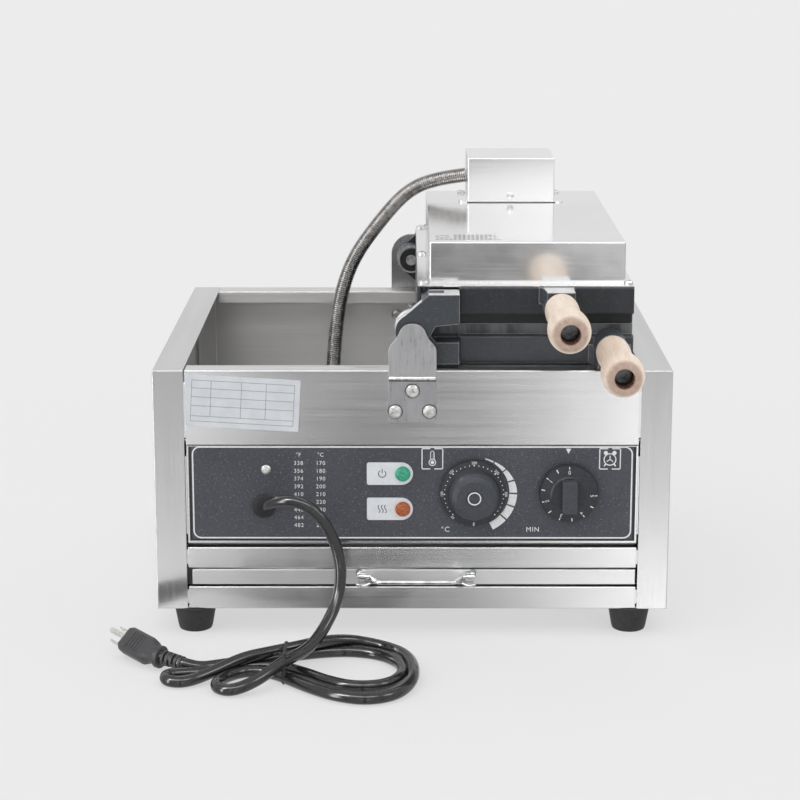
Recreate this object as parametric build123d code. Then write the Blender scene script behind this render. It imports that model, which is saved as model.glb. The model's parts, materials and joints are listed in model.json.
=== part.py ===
from build123d import *
import math
import os

os.makedirs("parts", exist_ok=True)

# ---------------------------------------------------------------- dimensions
# All in millimetres. X to the right, Y away from the user, Z up.
# The numbers below use Y = 0 at the middle of the cabinet's depth; SHIFT_Y
# moves everything so that the object's own box is centred on the origin.
WIDTH = 420.0            # cabinet, over the side panels
DEPTH = 380.0            # cabinet, front face to back face
TOP = 222.0              # cabinet's top flanges
FOOT_H = 21.0            # rubber feet
T = 1.2                  # stainless sheet
FLANGE = 25.0            # folded front and top flanges of the sides
AXIS_Z = 254.0           # mold pivot and parting plane
PIN_R = 5.0              # pivot pins
RUN = 0.05               # radial running clearance of shafts in bores
KNUCKLE_R = 14.0
MOLD_X0, MOLD_X1 = 4.0, 180.0
MOLD_Y = 154.0           # half length of the cavity block
BAR_Y = 164.0            # half length over the end bars
PART_GAP = 0.15          # half of the gap at the parting plane
MOLD_H = 31.2            # parting plane to the back of one mold
COVER_H = 34.1           # heater cover
JBOX_H = 40.5            # junction box
GRIP_FRONT = -295.0
GRIP_BACK = -191.0
UP_GRIP = (119.0, 272.0)     # x, z of the upper handle
LO_GRIP = (160.5, 238.0)     # x, z of the lower handle
THERMO = (50.1, 120.4)       # x, z of the thermostat
TIMER = (127.4, 120.4)       # x, z of the timer
CORD_R = 4.75
CONDUIT_R = 6.75
REAR = 195.0             # rearmost point, the bracket nuts
SHIFT_Y = -(GRIP_FRONT + REAR) / 2

HW, HD = WIDTH / 2, DEPTH / 2
IW = HW - FLANGE - 0.1   # half width between the posts
FW = IW - 1.3            # half width of the front pieces, a narrow gap at each post


# ---------------------------------------------------------------- helpers
def box(x0, x1, y0, y1, z0, z1):
    return Pos((x0 + x1) / 2, (y0 + y1) / 2, (z0 + z1) / 2) * Box(x1 - x0, y1 - y0, z1 - z0)


def cyl_y(x, z, y0, y1, r):
    return Pos(x, (y0 + y1) / 2, z) * Rot(90, 0, 0) * Cylinder(r, y1 - y0)


def cyl_x(y, z, x0, x1, r):
    return Pos((x0 + x1) / 2, y, z) * Rot(0, 90, 0) * Cylinder(r, x1 - x0)


def cyl_z(x, y, z0, z1, r):
    return Pos(x, y, (z0 + z1) / 2) * Cylinder(r, z1 - z0)


def prism_y(pts, y0, y1):
    pl = Plane(origin=(0, y1, 0), x_dir=(1, 0, 0), z_dir=(0, -1, 0))
    return extrude(pl * make_face(Polyline(*pts, close=True)), amount=y1 - y0)


def prism_x(pts, x0, x1):
    pl = Plane(origin=(x0, 0, 0), x_dir=(0, 1, 0), z_dir=(1, 0, 0))
    return extrude(pl * make_face(Polyline(*pts, close=True)), amount=x1 - x0)


def prism_z(pts, z0, z1):
    return extrude(Plane.XY.offset(z0) * make_face(Polyline(*pts, close=True)), amount=z1 - z0)


def rev_y(pts, cx, cz):
    """Closed outline of (radius, y), turned about the Y line through cx, cz."""
    return Pos(cx, 0, cz) * revolve(make_face(Polyline(*pts, close=True)), axis=Axis.Y)


def rev_z(pts, cx, cy):
    pl = Plane(origin=(0, 0, 0), x_dir=(1, 0, 0), z_dir=(0, -1, 0))
    return Pos(cx, cy, 0) * revolve(pl * make_face(Polyline(*pts, close=True)), axis=Axis.Z)


def hexnut_y(x, z, y0, y1, flats, hole):
    n = Plane(origin=(x, y1, z), x_dir=(1, 0, 0), z_dir=(0, -1, 0)) * RegularPolygon(flats / 2, 6, major_radius=False)
    return extrude(n, amount=y1 - y0) - cyl_y(x, z, y0 - 1, y1 + 1, hole)


def hexnut_z(x, y, z0, z1, flats, hole):
    n = Plane.XY.offset(z0) * Pos(x, y, 0) * RegularPolygon(flats / 2, 6, major_radius=False)
    return extrude(n, amount=z1 - z0) - cyl_z(x, y, z0 - 1, z1 + 1, hole)


def pan_y(x, z, face, side, r, h, shank_r, shank_l):
    """Pan head on the plane y = face; side -1 puts the head on the -Y side."""
    s = side
    pts = [(0, face), (r, face), (r, face + s * h * 0.45), (r * 0.82, face + s * h * 0.8), (r * 0.45, face + s * h), (0, face + s * h)]
    head = rev_y(pts, x, z)
    y0, y1 = sorted([face, face - s * shank_l])
    body = head + cyl_y(x, z, y0, y1, shank_r)
    slot_y = sorted([face + s * h * 0.45, face + s * (h + 1)])
    for w, d in ((r * 1.1, r * 0.24), (r * 0.24, r * 1.1)):
        body -= box(x - w / 2, x + w / 2, slot_y[0], slot_y[1], z - d / 2, z + d / 2)
    return body


def pan_z(x, y, face, side, r, h, shank_r, shank_l):
    s = side
    pts = [(0, face), (r, face), (r, face + s * h * 0.45), (r * 0.82, face + s * h * 0.8), (r * 0.45, face + s * h), (0, face + s * h)]
    head = rev_z(pts, x, y)
    z0, z1 = sorted([face, face - s * shank_l])
    body = head + cyl_z(x, y, z0, z1, shank_r)
    slot_z = sorted([face + s * h * 0.45, face + s * (h + 1)])
    for w, d in ((r * 1.1, r * 0.24), (r * 0.24, r * 1.1)):
        body -= box(x - w / 2, x + w / 2, y - d / 2, y + d / 2, slot_z[0], slot_z[1])
    return body


def soften(shape, tests, radius):
    """Round the straight edges whose middle passes one of the tests."""
    picked = [e for e in shape.edges() if e.geom_type == GeomType.LINE and any(t(e.center()) for t in tests)]
    if not picked:
        return shape
    try:
        out = fillet(picked, radius)
        return out if out.is_valid else shape
    except Exception:
        return shape


def near(a, b):
    return abs(a - b) < 0.02


def flip(shape):
    """The same piece below the parting plane."""
    return mirror(shape, about=Plane(origin=(0, 0, AXIS_Z), z_dir=(0, 0, 1)))


def tube(points, radius, radii=None, hollow=0.0, show=""):
    pts = [Vector(*p) for p in points]
    arcs = []
    for i in range(1, len(pts) - 1):
        u, v = pts[i] - pts[i - 1], pts[i + 1] - pts[i]
        turn = math.radians(u.get_angle(v))
        arcs.append(0.45 * min(u.length, v.length) / math.tan(turn / 2))
    if radii:
        arcs = radii
    path = FilletPolyline(*pts, radius=arcs)
    d = pts[1] - pts[0]
    sec = Plane(origin=pts[0], z_dir=d) * Circle(radius)
    solid = sweep(sec, path=path)
    length = path.length if hasattr(path, "length") else sum(e.length for e in path.edges())
    if show:
        want = math.pi * radius * radius * length
        print(show, "length %.1f" % length, "radii", [round(a) for a in arcs], "volume ratio %.4f" % (solid.volume / want))
    return solid


made = {}


def put(name, *shapes):
    """Write one node: the solids of the given shapes, moved to the final frame."""
    solids = []
    for s in shapes:
        solids += list(s.solids())
    moved = [Pos(0, SHIFT_Y, 0) * s for s in solids]
    obj = moved[0] if len(moved) == 1 else Compound(children=moved)
    obj.label = name
    made[name] = obj
    export_step(obj, "parts/%s.step" % name)


# ---------------------------------------------------------------- cabinet sheet metal
def side(s):
    def b(x0, x1, *r):
        return box(min(s * x0, s * x1), max(s * x0, s * x1), *r)

    p = b(HW - T, HW, -HD, HD, FOOT_H, TOP)
    p += b(HW - FLANGE, HW, -HD, -HD + T, FOOT_H, TOP)
    p += b(HW - FLANGE, HW, -HD, HD, TOP - T, TOP)
    p += b(HW - 12, HW, HD - T, HD, FOOT_H, TOP)
    p += b(HW - 14, HW, -HD + T, HD - T, FOOT_H + T, FOOT_H + 2 * T)
    X = s * HW
    return soften(p, [
        lambda c: near(c.X, X) and near(c.Y, -HD),
        lambda c: near(c.X, X) and near(c.Z, TOP),
        lambda c: near(c.Y, -HD) and near(c.Z, TOP),
        lambda c: near(c.X, X) and near(c.Y, HD),
    ], 0.9)


put("left_side_panel", side(-1))
put("right_side_panel", side(1))

# front panel above the controls: face, top flange with a down-lip, bottom return, laps behind the posts
PANEL_Z = 160.0
p = box(-FW, FW, -HD, -HD + T, PANEL_Z, TOP)
p += box(-FW, FW, -HD, -HD + 20, TOP - T, TOP)
p += box(-FW, FW, -HD + 20 - T, -HD + 20, TOP - 9, TOP)
p += box(-FW, FW, -HD, -HD + 12, PANEL_Z, PANEL_Z + T)
for s in (-1, 1):
    p += box(min(s * 172, s * 200), max(s * 172, s * 200), -HD + T, -HD + 2 * T, PANEL_Z + 6, TOP - 10)
BR_SCREWS = [(0.0, 205.6), (-13.8, 188.6), (13.8, 188.6)]
for x, z in BR_SCREWS:
    p -= cyl_y(x, z, -HD - 1, -HD + 3, 2.55)
p = soften(p, [lambda c: near(c.Y, -HD) and near(c.Z, TOP), lambda c: near(c.Y, -HD) and near(c.Z, PANEL_Z)], 0.9)
put("front_upper_panel", p)

# recessed control panel: steel backing with its bottom edge showing below the dark overlay
CP_Y = -HD + 1.6         # front of the backing plate
OV_Y = CP_Y - 0.5        # front of the overlay
LAMPS = [(-7.7, 136.0), (-7.7, 106.3)]
GLAND = (-121.0, 108.6)
PSCREW = (-119.0, 139.2)
c = box(-FW, FW, CP_Y, CP_Y + T, 77.0, 159.2)
c += box(-FW, FW, CP_Y, CP_Y + 11, 77.0, 77.0 + T)
c += box(-FW, FW, CP_Y, CP_Y + 9, 159.2 - T, 159.2)
for s in (-1, 1):
    c += box(min(s * 172, s * 200), max(s * 172, s * 200), CP_Y + T, CP_Y + 2 * T, 84, 150)
o = box(-FW + 1.6, FW - 1.6, OV_Y, CP_Y, 79.0, 158.4)
holes = [(THERMO[0], THERMO[1], 5.05), (TIMER[0], TIMER[1], 5.05), (GLAND[0], GLAND[1], 7.9), (PSCREW[0], PSCREW[1], 1.85)]
holes += [(x, z, 5.95) for x, z in LAMPS]
for x, z, r in holes:
    c -= cyl_y(x, z, CP_Y - 3, CP_Y + 6, r)
    o -= cyl_y(x, z, CP_Y - 3, CP_Y + 6, r)
put("control_panel", c)
put("panel_overlay", o)

# rails above and below the crumb tray
m = box(-FW, FW, -HD, -HD + T, 56.0, 73.6)
m += box(-FW, FW, -HD, -HD + 14, 73.6 - T, 73.6) + box(-FW, FW, -HD, -HD + 12, 56.0, 56.0 + T)
for s in (-1, 1):
    m += box(min(s * 172, s * 200), max(s * 172, s * 200), -HD + T, -HD + 2 * T, 59, 71)
m = soften(m, [lambda c: near(c.Y, -HD) and (near(c.Z, 73.6) or near(c.Z, 56.0))], 0.9)
put("mid_front_rail", m)

b = box(-FW, FW, -HD, -HD + T, FOOT_H, 40.0)
b += box(-FW, FW, -HD, -HD + 12, 40.0 - T, 40.0)
for s in (-1, 1):
    b += box(min(s * 172, s * 195), max(s * 172, s * 195), -HD + T, -HD + 2 * T, 25, 37)
b = soften(b, [lambda c: near(c.Y, -HD) and (near(c.Z, 40.0) or near(c.Z, FOOT_H))], 0.9)
put("bottom_front_rail", b)

# back panel: wall, top flange with a down-lip into the well, laps inside the sides' rear flanges
RB_SCREWS = [(0.0, 208.0), (-13.8, 195.0), (13.8, 195.0)]
k = box(-HW + 12.1, HW - 12.1, HD - T, HD, FOOT_H, TOP)
k += box(-IW, IW, HD - 24, HD, TOP - T, TOP)
k += box(-IW, IW, HD - 24, HD - 24 + T, TOP - 11, TOP)
for s in (-1, 1):
    k += box(min(s * 190, s * 207), max(s * 190, s * 207), HD - 2 * T, HD - T, 26, 216)
    k -= box(min(s * 184.9, s * 199), max(s * 184.9, s * 199), HD - T - 0.01, HD + 1, TOP - T - 0.05, TOP + 1)
for x, z in RB_SCREWS:
    k -= cyl_y(x, z, HD - 4, HD + 1, 2.55)
k = soften(k, [lambda c: near(c.Z, TOP) and (near(c.Y, HD) or near(c.Y, HD - 24))], 0.9)
put("back_panel", k)

FEET = [(sx * 180.0, sy * 175.0) for sx in (-1, 1) for sy in (-1, 1)]
bp = box(-HW + T, HW - T, -HD + T, HD - T, FOOT_H, FOOT_H + T)
for x, y in FEET:
    bp -= cyl_z(x, y, FOOT_H - 1, FOOT_H + 3, 2.6)
for i in range(-4, 5):   # air slots under the controls
    bp -= box(i * 30 - 10, i * 30 + 10, -168, -164, FOOT_H - 1, FOOT_H + 3)
put("base_plate", bp)

# shield between the control bay and the well, a channel open to the front
COND_UP = (-79.0, 98.0)
COND_LO = (16.0, 100.0)
sh = box(-HW + T + 0.1, HW - T - 0.1, -131.2, -130.0, 73.6, 164.2)
sh += box(-HW + T + 0.1, HW - T - 0.1, -176.0, -130.0, 73.6, 74.8)
sh += box(-HW + T + 0.1, HW - T - 0.1, -187.4, -130.0, 163.0, 164.2)
for x, z in (COND_UP, COND_LO):
    sh -= cyl_y(x, z, -133, -128, 8.6)
put("control_box_shield", sh)

def runner(s):
    def b(x0, x1, *r):
        return box(min(s * x0, s * x1), max(s * x0, s * x1), *r)
    return b(172, HW - T, -185, 160, 40.6, 41.8) + b(HW - 2 * T, HW - T, -185, 160, 40.6, 57)

put("tray_runners", runner(-1), runner(1))

# ---------------------------------------------------------------- feet
foot = [(6.0, 0.0), (12.2, 0.0), (13.3, 0.6), (14.0, 2.2), (14.6, 5.0), (17.2, 19.4), (17.3, FOOT_H), (2.6, FOOT_H), (2.6, 9.0), (6.0, 9.0)]
put("rubber_feet", *[rev_z(foot, x, y) for x, y in FEET])
fs = []
for x, y in FEET:
    fs.append(cyl_z(x, y, 6.0, 9.0, 5.2) + cyl_z(x, y, 8.5, 30.0, 2.5) - box(x - 3.4, x + 3.4, y - 0.6, y + 0.6, 5, 7))
    fs.append(hexnut_z(x, y, FOOT_H + T, FOOT_H + T + 4, 8.0, 2.55))
put("foot_screws", *fs)

# ---------------------------------------------------------------- pivot brackets
# front: flat foot screwed to the panel, stepped 1.5 mm out above it, bell-shaped top
STEP_Z = 216.5
low = box(-19.3, 19.3, -HD - 2.5, -HD, 179.4, STEP_Z + 1.2)
crown = Spline((19.3, 238.5), (18.0, 242.4), (15.0, 246.2), (12.2, 250.2), (10.2, 254.8), (6.4, 259.2), (0, 261.0), (-6.4, 259.2), (-10.2, 254.8), (-12.2, 250.2), (-15.0, 246.2), (-18.0, 242.4), (-19.3, 238.5))
rest = Polyline((-19.3, 238.5), (-19.3, STEP_Z - 1.2), (19.3, STEP_Z - 1.2), (19.3, 238.5))
plF = Plane(origin=(0, -HD - 1.5, 0), x_dir=(1, 0, 0), z_dir=(0, -1, 0))
upp = extrude(plF * make_face(crown.edges() + rest.edges()), amount=2.5)
fb = low + upp
for x, z in BR_SCREWS:
    fb -= cyl_y(x, z, -HD - 5, -HD + 1, 2.55)
fb = soften(fb, [lambda c: near(abs(c.X), 19.3) and near(c.Z, 179.4)], 2.0)
put("front_pivot_bracket", fb)

rb = box(-19, 19, HD, HD + 2.5, 181.0, 255.0) + cyl_y(0, 255.0, HD, HD + 2.5, 19.0)
for x, z in RB_SCREWS:
    rb -= cyl_y(x, z, HD - 1, HD + 5, 2.55)
put("rear_pivot_bracket", rb)

bs = [pan_y(x, z, -HD - 2.5, -1, 5.4, 3.0, 2.5, 9.0) for x, z in BR_SCREWS]
bs += [hexnut_y(x, z, -HD + T, -HD + T + 4, 8.0, 2.55) for x, z in BR_SCREWS]
bs += [pan_y(x, z, HD - T, -1, 5.4, 3.0, 2.5, T + 2.5 + 2.4) for x, z in RB_SCREWS]
bs += [hexnut_y(x, z, HD + 2.5, REAR, 8.0, 2.55) for x, z in RB_SCREWS]
put("bracket_screws", *bs)

# order from the bracket inwards: upper knuckle, washer, lower knuckle, washer, collar
put("pivot_pins", cyl_y(0, AXIS_Z, -HD - 1.5, -157.0, PIN_R), cyl_y(0, AXIS_Z, 157.0, HD, PIN_R))


def ring_y(y0, y1, r, hole):
    y0, y1 = sorted([y0, y1])
    return cyl_y(0, AXIS_Z, y0, y1, r) - cyl_y(0, AXIS_Z, y0 - 1, y1 + 1, hole)


W1 = (177.7, 179.2)      # between the knuckles
W2 = (164.2, 165.7)      # inside the lower knuckle
put("pivot_washers", *[ring_y(s * a, s * b, 13.4, PIN_R) for s in (-1, 1) for a, b in (W1, W2)])
put("pivot_collars", *[ring_y(s * 158.0, s * 164.2, 10.8, PIN_R) for s in (-1, 1)])


# ---------------------------------------------------------------- molds
def fish_outline():
    """One fish seen from above: tail at u = 0, mouth at u = 150."""
    half = [(150, 0), (149, 8), (142, 19), (124, 30), (100, 35), (76, 32), (54, 21), (41, 14), (26, 25), (10, 34), (3, 29), (10, 14), (12, 0)]
    other = [(u, -v) for u, v in reversed(half[1:-1])]
    return half + other


def fish(y, z0, z1):
    pts = [(20 + u, y + v) for u, v in fish_outline()]
    return extrude(Plane.XY.offset(z0) * make_face(Polyline(*pts, close=True)), amount=z1 - z0)


FISH_Y = (-100.0, 0.0, 100.0)
CAV = 14.0
Z0 = AXIS_Z + PART_GAP
Z1 = AXIS_Z + MOLD_H
CLEAR_R = KNUCKLE_R + 0.6
COVER_SCREWS = [(8.8, -152.0), (8.8, -4.0), (8.8, 149.0), (176.8, -152.0), (176.8, -4.0), (176.8, 149.0)]


def boss(x, z, far):
    """Handle boss in front of the end bar; far is the flat back plane's z."""
    g = cyl_y(x, z, -190.0, -160.0, 13.2)
    lo, hi = sorted([z, far])
    g += prism_z([(x - 16.2, -164.2), (x - 13.4, -168.5), (x - 12.2, -176), (x - 11.2, -190), (x + 11.4, -190), (x + 11.4, -176), (x + 10.6, -168.5), (x + 12.2, -164.2), (x + 12.2, -160), (x - 16.2, -160)], lo, hi)
    return g


def arm(low, web, y_front, y_knuckle_in, s):
    """Hinge arm of a mold at one end, as on the upper mold: low is the height of its inner face over the axis,
    web the inner outline of the link to the knuckle; s is +1 for the rear end."""
    a = [s * y_front, s * (MOLD_Y - 4)]
    blk = box(7.4, 37.8, min(a), max(a), AXIS_Z + low, AXIS_Z + 29.5)
    k = sorted([s * y_front, s * y_knuckle_in])
    link = prism_y([(-6, AXIS_Z + 12.6), (9.5, AXIS_Z + 26), (13, AXIS_Z + 29.5), (37.8, AXIS_Z + 29.5), (37.8, AXIS_Z + low)] + [(x, AXIS_Z + z) for x, z in web], k[0], k[1])
    knu = cyl_y(0, AXIS_Z, k[0], k[1], KNUCKLE_R)
    cut = prism_y([(0, AXIS_Z + 18), (0, AXIS_Z + 40), (14.5, AXIS_Z + 40), (14.5, AXIS_Z + 31)], -200, 200)
    return blk - cut, link + knu


def mold(upper):
    g = box(MOLD_X0, MOLD_X1, -MOLD_Y, MOLD_Y, Z0, Z1)
    g = soften(g, [lambda c: near(c.X, MOLD_X1) and abs(c.Y) > 150, lambda c: near(c.X, MOLD_X1) and near(c.Z, Z1), lambda c: near(c.X, MOLD_X0) and abs(c.Y) > 150], 3.0)
    for s in (-1, 1):
        y = sorted([s * (MOLD_Y - 3), s * BAR_Y])
        bar = box(38.0, MOLD_X1, y[0], y[1], AXIS_Z + 9, Z1)
        bar = soften(bar, [lambda c: near(abs(c.Y), BAR_Y)], 1.6)
        g += bar
        if upper:
            yf, yk = (190.0, 179.5) if s < 0 else (189.6, 179.5)
            low, web = 6.0, [(18.4, 3.9), (14.8, -3.0), (9.0, -6.0)]
        else:
            yf, yk = 177.4, 166.0
            low, web = 11.8, [(19.0, 11.8), (12.0, 3.0)]
        blk, rest = arm(low, web, yf, yk, s)
        inner = sorted([s * yk, s * (MOLD_Y + 0.2)])
        blk -= cyl_y(0, AXIS_Z, inner[0], inner[1], CLEAR_R)
        g += blk
        g += rest
        bore = sorted([s * (yk - 1), s * (yf + 1)])
        g -= cyl_y(0, AXIS_Z, bore[0], bore[1], PIN_R + RUN)
    if upper:
        g += boss(UP_GRIP[0], UP_GRIP[1], Z1)
        g -= cyl_y(UP_GRIP[0], UP_GRIP[1], -200, -166.0, 4.85)
    for y in FISH_Y:
        g -= fish(y, AXIS_Z - 1, AXIS_Z + CAV)
        g -= box(158, 172, y - 16, y + 16, AXIS_Z - 1, AXIS_Z + 8)
    return g


RACK_X = (171.0, 177.0)
mu = mold(True)
mu -= box(RACK_X[0], RACK_X[1], -150, 150, AXIS_Z - 1, AXIS_Z + 5)
for x, y in COVER_SCREWS:
    mu -= cyl_z(x, y, Z1 - 7, Z1 + 1, 1.85)
put("upper_mold_plate", mu)

ml = mold(False)
ml -= box(RACK_X[0] - 0.6, RACK_X[1] + 0.6, -150.6, 150.6, AXIS_Z - 1, AXIS_Z + 5.6)
ml = flip(ml)
zb = 2 * AXIS_Z - Z1
lb = cyl_y(LO_GRIP[0], LO_GRIP[1], -190.0, -160.0, 13.2)
lb += prism_z([(LO_GRIP[0] - 17, -164.2), (LO_GRIP[0] - 13, -168), (LO_GRIP[0] - 11, -174), (LO_GRIP[0] - 11, -189), (LO_GRIP[0] + 11, -189), (LO_GRIP[0] + 11, -174), (LO_GRIP[0] + 13, -168), (LO_GRIP[0] + 17, -164.2), (LO_GRIP[0] + 17, -160), (LO_GRIP[0] - 17, -160)], zb, LO_GRIP[1])
ml += lb
ml -= cyl_y(LO_GRIP[0], LO_GRIP[1], -200, -166.0, 4.85)
for x, y in COVER_SCREWS:
    ml -= cyl_z(x, y, zb - 1, zb + 7, 1.85)
put("lower_mold_plate", ml)

# mouth cores: a bar bolted to the upper mold, three tapered cores reach into the cavities
rack = box(RACK_X[0], RACK_X[1], -150, 150, AXIS_Z - 5, AXIS_Z + 5)
for y in FISH_Y:
    core = prism_y([(171.2, AXIS_Z + 6), (171.2, AXIS_Z - 6), (146, AXIS_Z - 2.5), (146, AXIS_Z + 2.5)], y - 13, y + 13)
    rack += core
put("mouth_core_rack", rack)

# ---------------------------------------------------------------- heaters, covers, junction boxes
CZ = Z1 + T              # top of the cover's flange
CT = Z1 + T + COVER_H    # top of the cover
CX0, CX1, CY0, CY1 = 13.7, 173.7, -150.0, 158.0
JX0, JX1, JY0, JY1 = 51.0, 130.0, 79.0, 156.0
JZ = CT + T
JT = CT + JBOX_H
HEAT_Z = Z1 + 4.1
RISERS = [(70.0, 118.0), (112.0, 118.0)]
J_SCREWS = [(46.4, 134.0), (134.4, 136.0)]


def heater(tail):
    pts = [(70, 118, JZ + 12), (70, 118, HEAT_Z), (70, -122, HEAT_Z), (35, -122, HEAT_Z), (35, 140, HEAT_Z), (150, 140, HEAT_Z), (150, -122, HEAT_Z), (112, -122, HEAT_Z), (112, 118, HEAT_Z), (112, 118, JZ + 12)]
    return tube(pts, 4.0, radii=[12.0] * 8, show=tail)


def cover():
    g = box(CX0, CX1, CY0, CY1, Z1, CT)
    g = soften(g, [lambda c: near(c.Z, CT), lambda c: (near(c.X, CX0) or near(c.X, CX1)) and (near(c.Y, CY0) or near(c.Y, CY1))], 1.6)
    g += box(MOLD_X0 + 0.4, MOLD_X1 - 0.4, -162, 162, Z1, CZ)
    g -= box(CX0 + T, CX1 - T, CY0 + T, CY1 - T, Z1 - 1, CT - T)
    for x, y in RISERS:
        g -= cyl_z(x, y, CT - 3, CT + 1, 7.0)
    for x, y in COVER_SCREWS:
        g -= cyl_z(x, y, Z1 - 1, CZ + 1, 1.85)
    for x, y in J_SCREWS:
        g -= cyl_z(x, y, CT - 3, CT + 1, 1.85)
    return g


def jbox():
    g = box(JX0, JX1, JY0, JY1, CT, JT)
    g = soften(g, [lambda c: near(c.Z, JT), lambda c: (near(c.X, JX0) or near(c.X, JX1)) and (near(c.Y, JY0) or near(c.Y, JY1))], 1.2)
    fl = box(JX0 - 8, JX1 + 8, JY0 - 1.6, JY1, CT, JZ)
    fl = soften(fl, [lambda c: (near(c.X, JX0 - 8) or near(c.X, JX1 + 8)) and near(c.Y, JY0 - 1.6)], 4.0)
    g += fl
    g -= box(JX0 + T, JX1 - T, JY0 + T, JY1 - T, CT - 1, JT - T)
    g -= cyl_x(115.0, CT + 20.6, JX0 - 2, JX0 + 4, CONDUIT_R + 0.15)
    for x, y in J_SCREWS:
        g -= cyl_z(x, y, CT - 1, JZ + 1, 1.85)
    g -= cyl_y(90.0, CT + 6.0, JY0 - 1, JY0 + 3, 1.55)
    return g


def screws():
    out = [pan_z(x, y, CZ, 1, 4.0 if x < 20 else 2.9, 2.4, 1.8, 7.0) for x, y in COVER_SCREWS]
    out += [pan_z(x, y, JZ, 1, 3.6, 2.2, 1.8, 6.0) for x, y in J_SCREWS]
    out.append(pan_y(90.0, CT + 6.0, JY0, -1, 3.2, 1.9, 1.5, 5.0))
    return out


hu = heater("upper heater")
put("upper_heater", hu)
put("lower_heater", flip(hu))
cu, ju = cover(), jbox()
put("upper_heater_cover", cu)
put("lower_heater_cover", flip(cu))
put("upper_junction_box", ju)
put("lower_junction_box", flip(ju))
su = screws()
put("upper_cover_screws", *su)
put("lower_cover_screws", *[flip(s) for s in su])
bz = 2 * AXIS_Z - Z1 - 3.1
put("thermostat_bulb", cyl_y(91.0, bz, -60.0, 40.0, 3.0) + cyl_y(91.0, bz, 39.0, 66.0, 0.9))


# ---------------------------------------------------------------- handles
def grip(x, z):
    prof = [(11.4, -191.0), (12.9, -192.0), (13.5, -194.6), (13.7, -208.0), (13.3, -220.0), (12.8, -230.0), (12.9, -238.0), (13.7, -247.0), (15.0, -257.0), (16.1, -267.0), (16.6, -276.0), (16.5, -283.0), (15.6, -288.6), (13.9, -292.6), (11.4, -294.6), (9.4, -295.0)]
    sp = Spline(*[Vector(r, y) for r, y in prof])
    ln = Polyline((9.4, -295.0), (8.0, -295.0), (7.5, -294.4), (7.5, -272.5), (4.95, -272.5), (4.95, -191.0), (11.4, -191.0))
    return Pos(x, 0, z) * revolve(make_face(sp.edges() + ln.edges()), axis=Axis.Y)


def rod(x, z):
    g = cyl_y(x, z, -273.0, -166.5, 4.8) + cyl_y(x, z, -279.0, -272.6, 6.6)
    g -= extrude(Plane(origin=(x, -276.0, z), x_dir=(1, 0, 0), z_dir=(0, -1, 0)) * RegularPolygon(3.0, 6, major_radius=False), amount=4)
    return g


put("upper_grip", grip(*UP_GRIP))
put("lower_grip", grip(*LO_GRIP))
put("upper_handle_rod", rod(*UP_GRIP))
put("lower_handle_rod", rod(*LO_GRIP))

# ---------------------------------------------------------------- controls
tb = box(THERMO[0] - 17, THERMO[0] + 17, CP_Y + T, -158.0, THERMO[1] - 17, THERMO[1] + 17)
tb += cyl_y(THERMO[0], THERMO[1], OV_Y - 1.8, CP_Y + T + 0.5, 5.0)
tb -= cyl_y(THERMO[0], THERMO[1], OV_Y - 3, -165.0, 3.0 + RUN)
put("thermostat_body", tb)
ib = box(TIMER[0] - 19, TIMER[0] + 19, CP_Y + T, -152.0, TIMER[1] - 19, TIMER[1] + 19)
ib += cyl_y(TIMER[0], TIMER[1], OV_Y - 1.8, CP_Y + T + 0.5, 5.0)
ib -= cyl_y(TIMER[0], TIMER[1], OV_Y - 3, -165.0, 3.0 + RUN)
put("timer_body", ib)
put("thermostat_shaft", cyl_y(THERMO[0], THERMO[1], -207.0, -165.6, 3.0))
put("timer_shaft", cyl_y(TIMER[0], TIMER[1], -204.0, -165.6, 3.0))

KB = OV_Y - 2.6          # back of the knobs, clear of the panel
kt = rev_y([(0, KB - 1.0), (22, KB - 1.0), (22, KB), (27.5, KB), (27.5, KB - 2.0), (26.9, KB - 3.6), (21.6, KB - 5.2), (20.4, KB - 7.5), (19.6, KB - 13.5), (17.8, KB - 16.6), (14.0, KB - 18.4), (7.2, KB - 19.2), (6.6, KB - 18.2), (0, KB - 18.2)], *THERMO)
kt -= cyl_y(THERMO[0], THERMO[1], -207.0, KB + 1, 3.0)
put("thermostat_knob", kt)
ki = rev_y([(0, KB - 1.0), (20, KB - 1.0), (20, KB), (24.0, KB), (24.0, KB - 2.4), (23.2, KB - 4.2), (15.4, KB - 6.6), (14.0, KB - 7.4), (14.0, KB - 8.2), (0, KB - 8.2)], *TIMER)
bar = box(TIMER[0] - 6, TIMER[0] + 6, KB - 18.5, KB - 8.0, TIMER[1] - 13.2, TIMER[1] + 13.6)
bar = soften(bar, [lambda c: near(c.Y, KB - 18.5), lambda c: abs(abs(c.X - TIMER[0]) - 6) < 0.1], 1.4)
ki += bar
ki -= cyl_y(TIMER[0], TIMER[1], -204.0, KB + 1, 3.0)
put("timer_knob", ki)


def lamp_plate(x, z):
    r = 9.4
    g = box(-37.0, 0.5 - r, OV_Y - 0.8, OV_Y, z - r, z + r) + cyl_y(0.5 - r, z, OV_Y - 0.8, OV_Y, r)
    g = soften(g, [lambda c: near(c.X, -37.0) and abs(abs(c.Z - z) - r) < 0.02], 1.8)
    return g - cyl_y(x, z, OV_Y - 2, OV_Y + 1, 5.95)


def lamp(x, z):
    f = OV_Y - 0.8
    return rev_y([(0, -170.0), (5.9, -170.0), (5.9, f), (6.15, f), (6.15, f - 1.6), (5.6, f - 2.6), (3.6, f - 3.5), (0, f - 3.9)], x, z)


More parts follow.
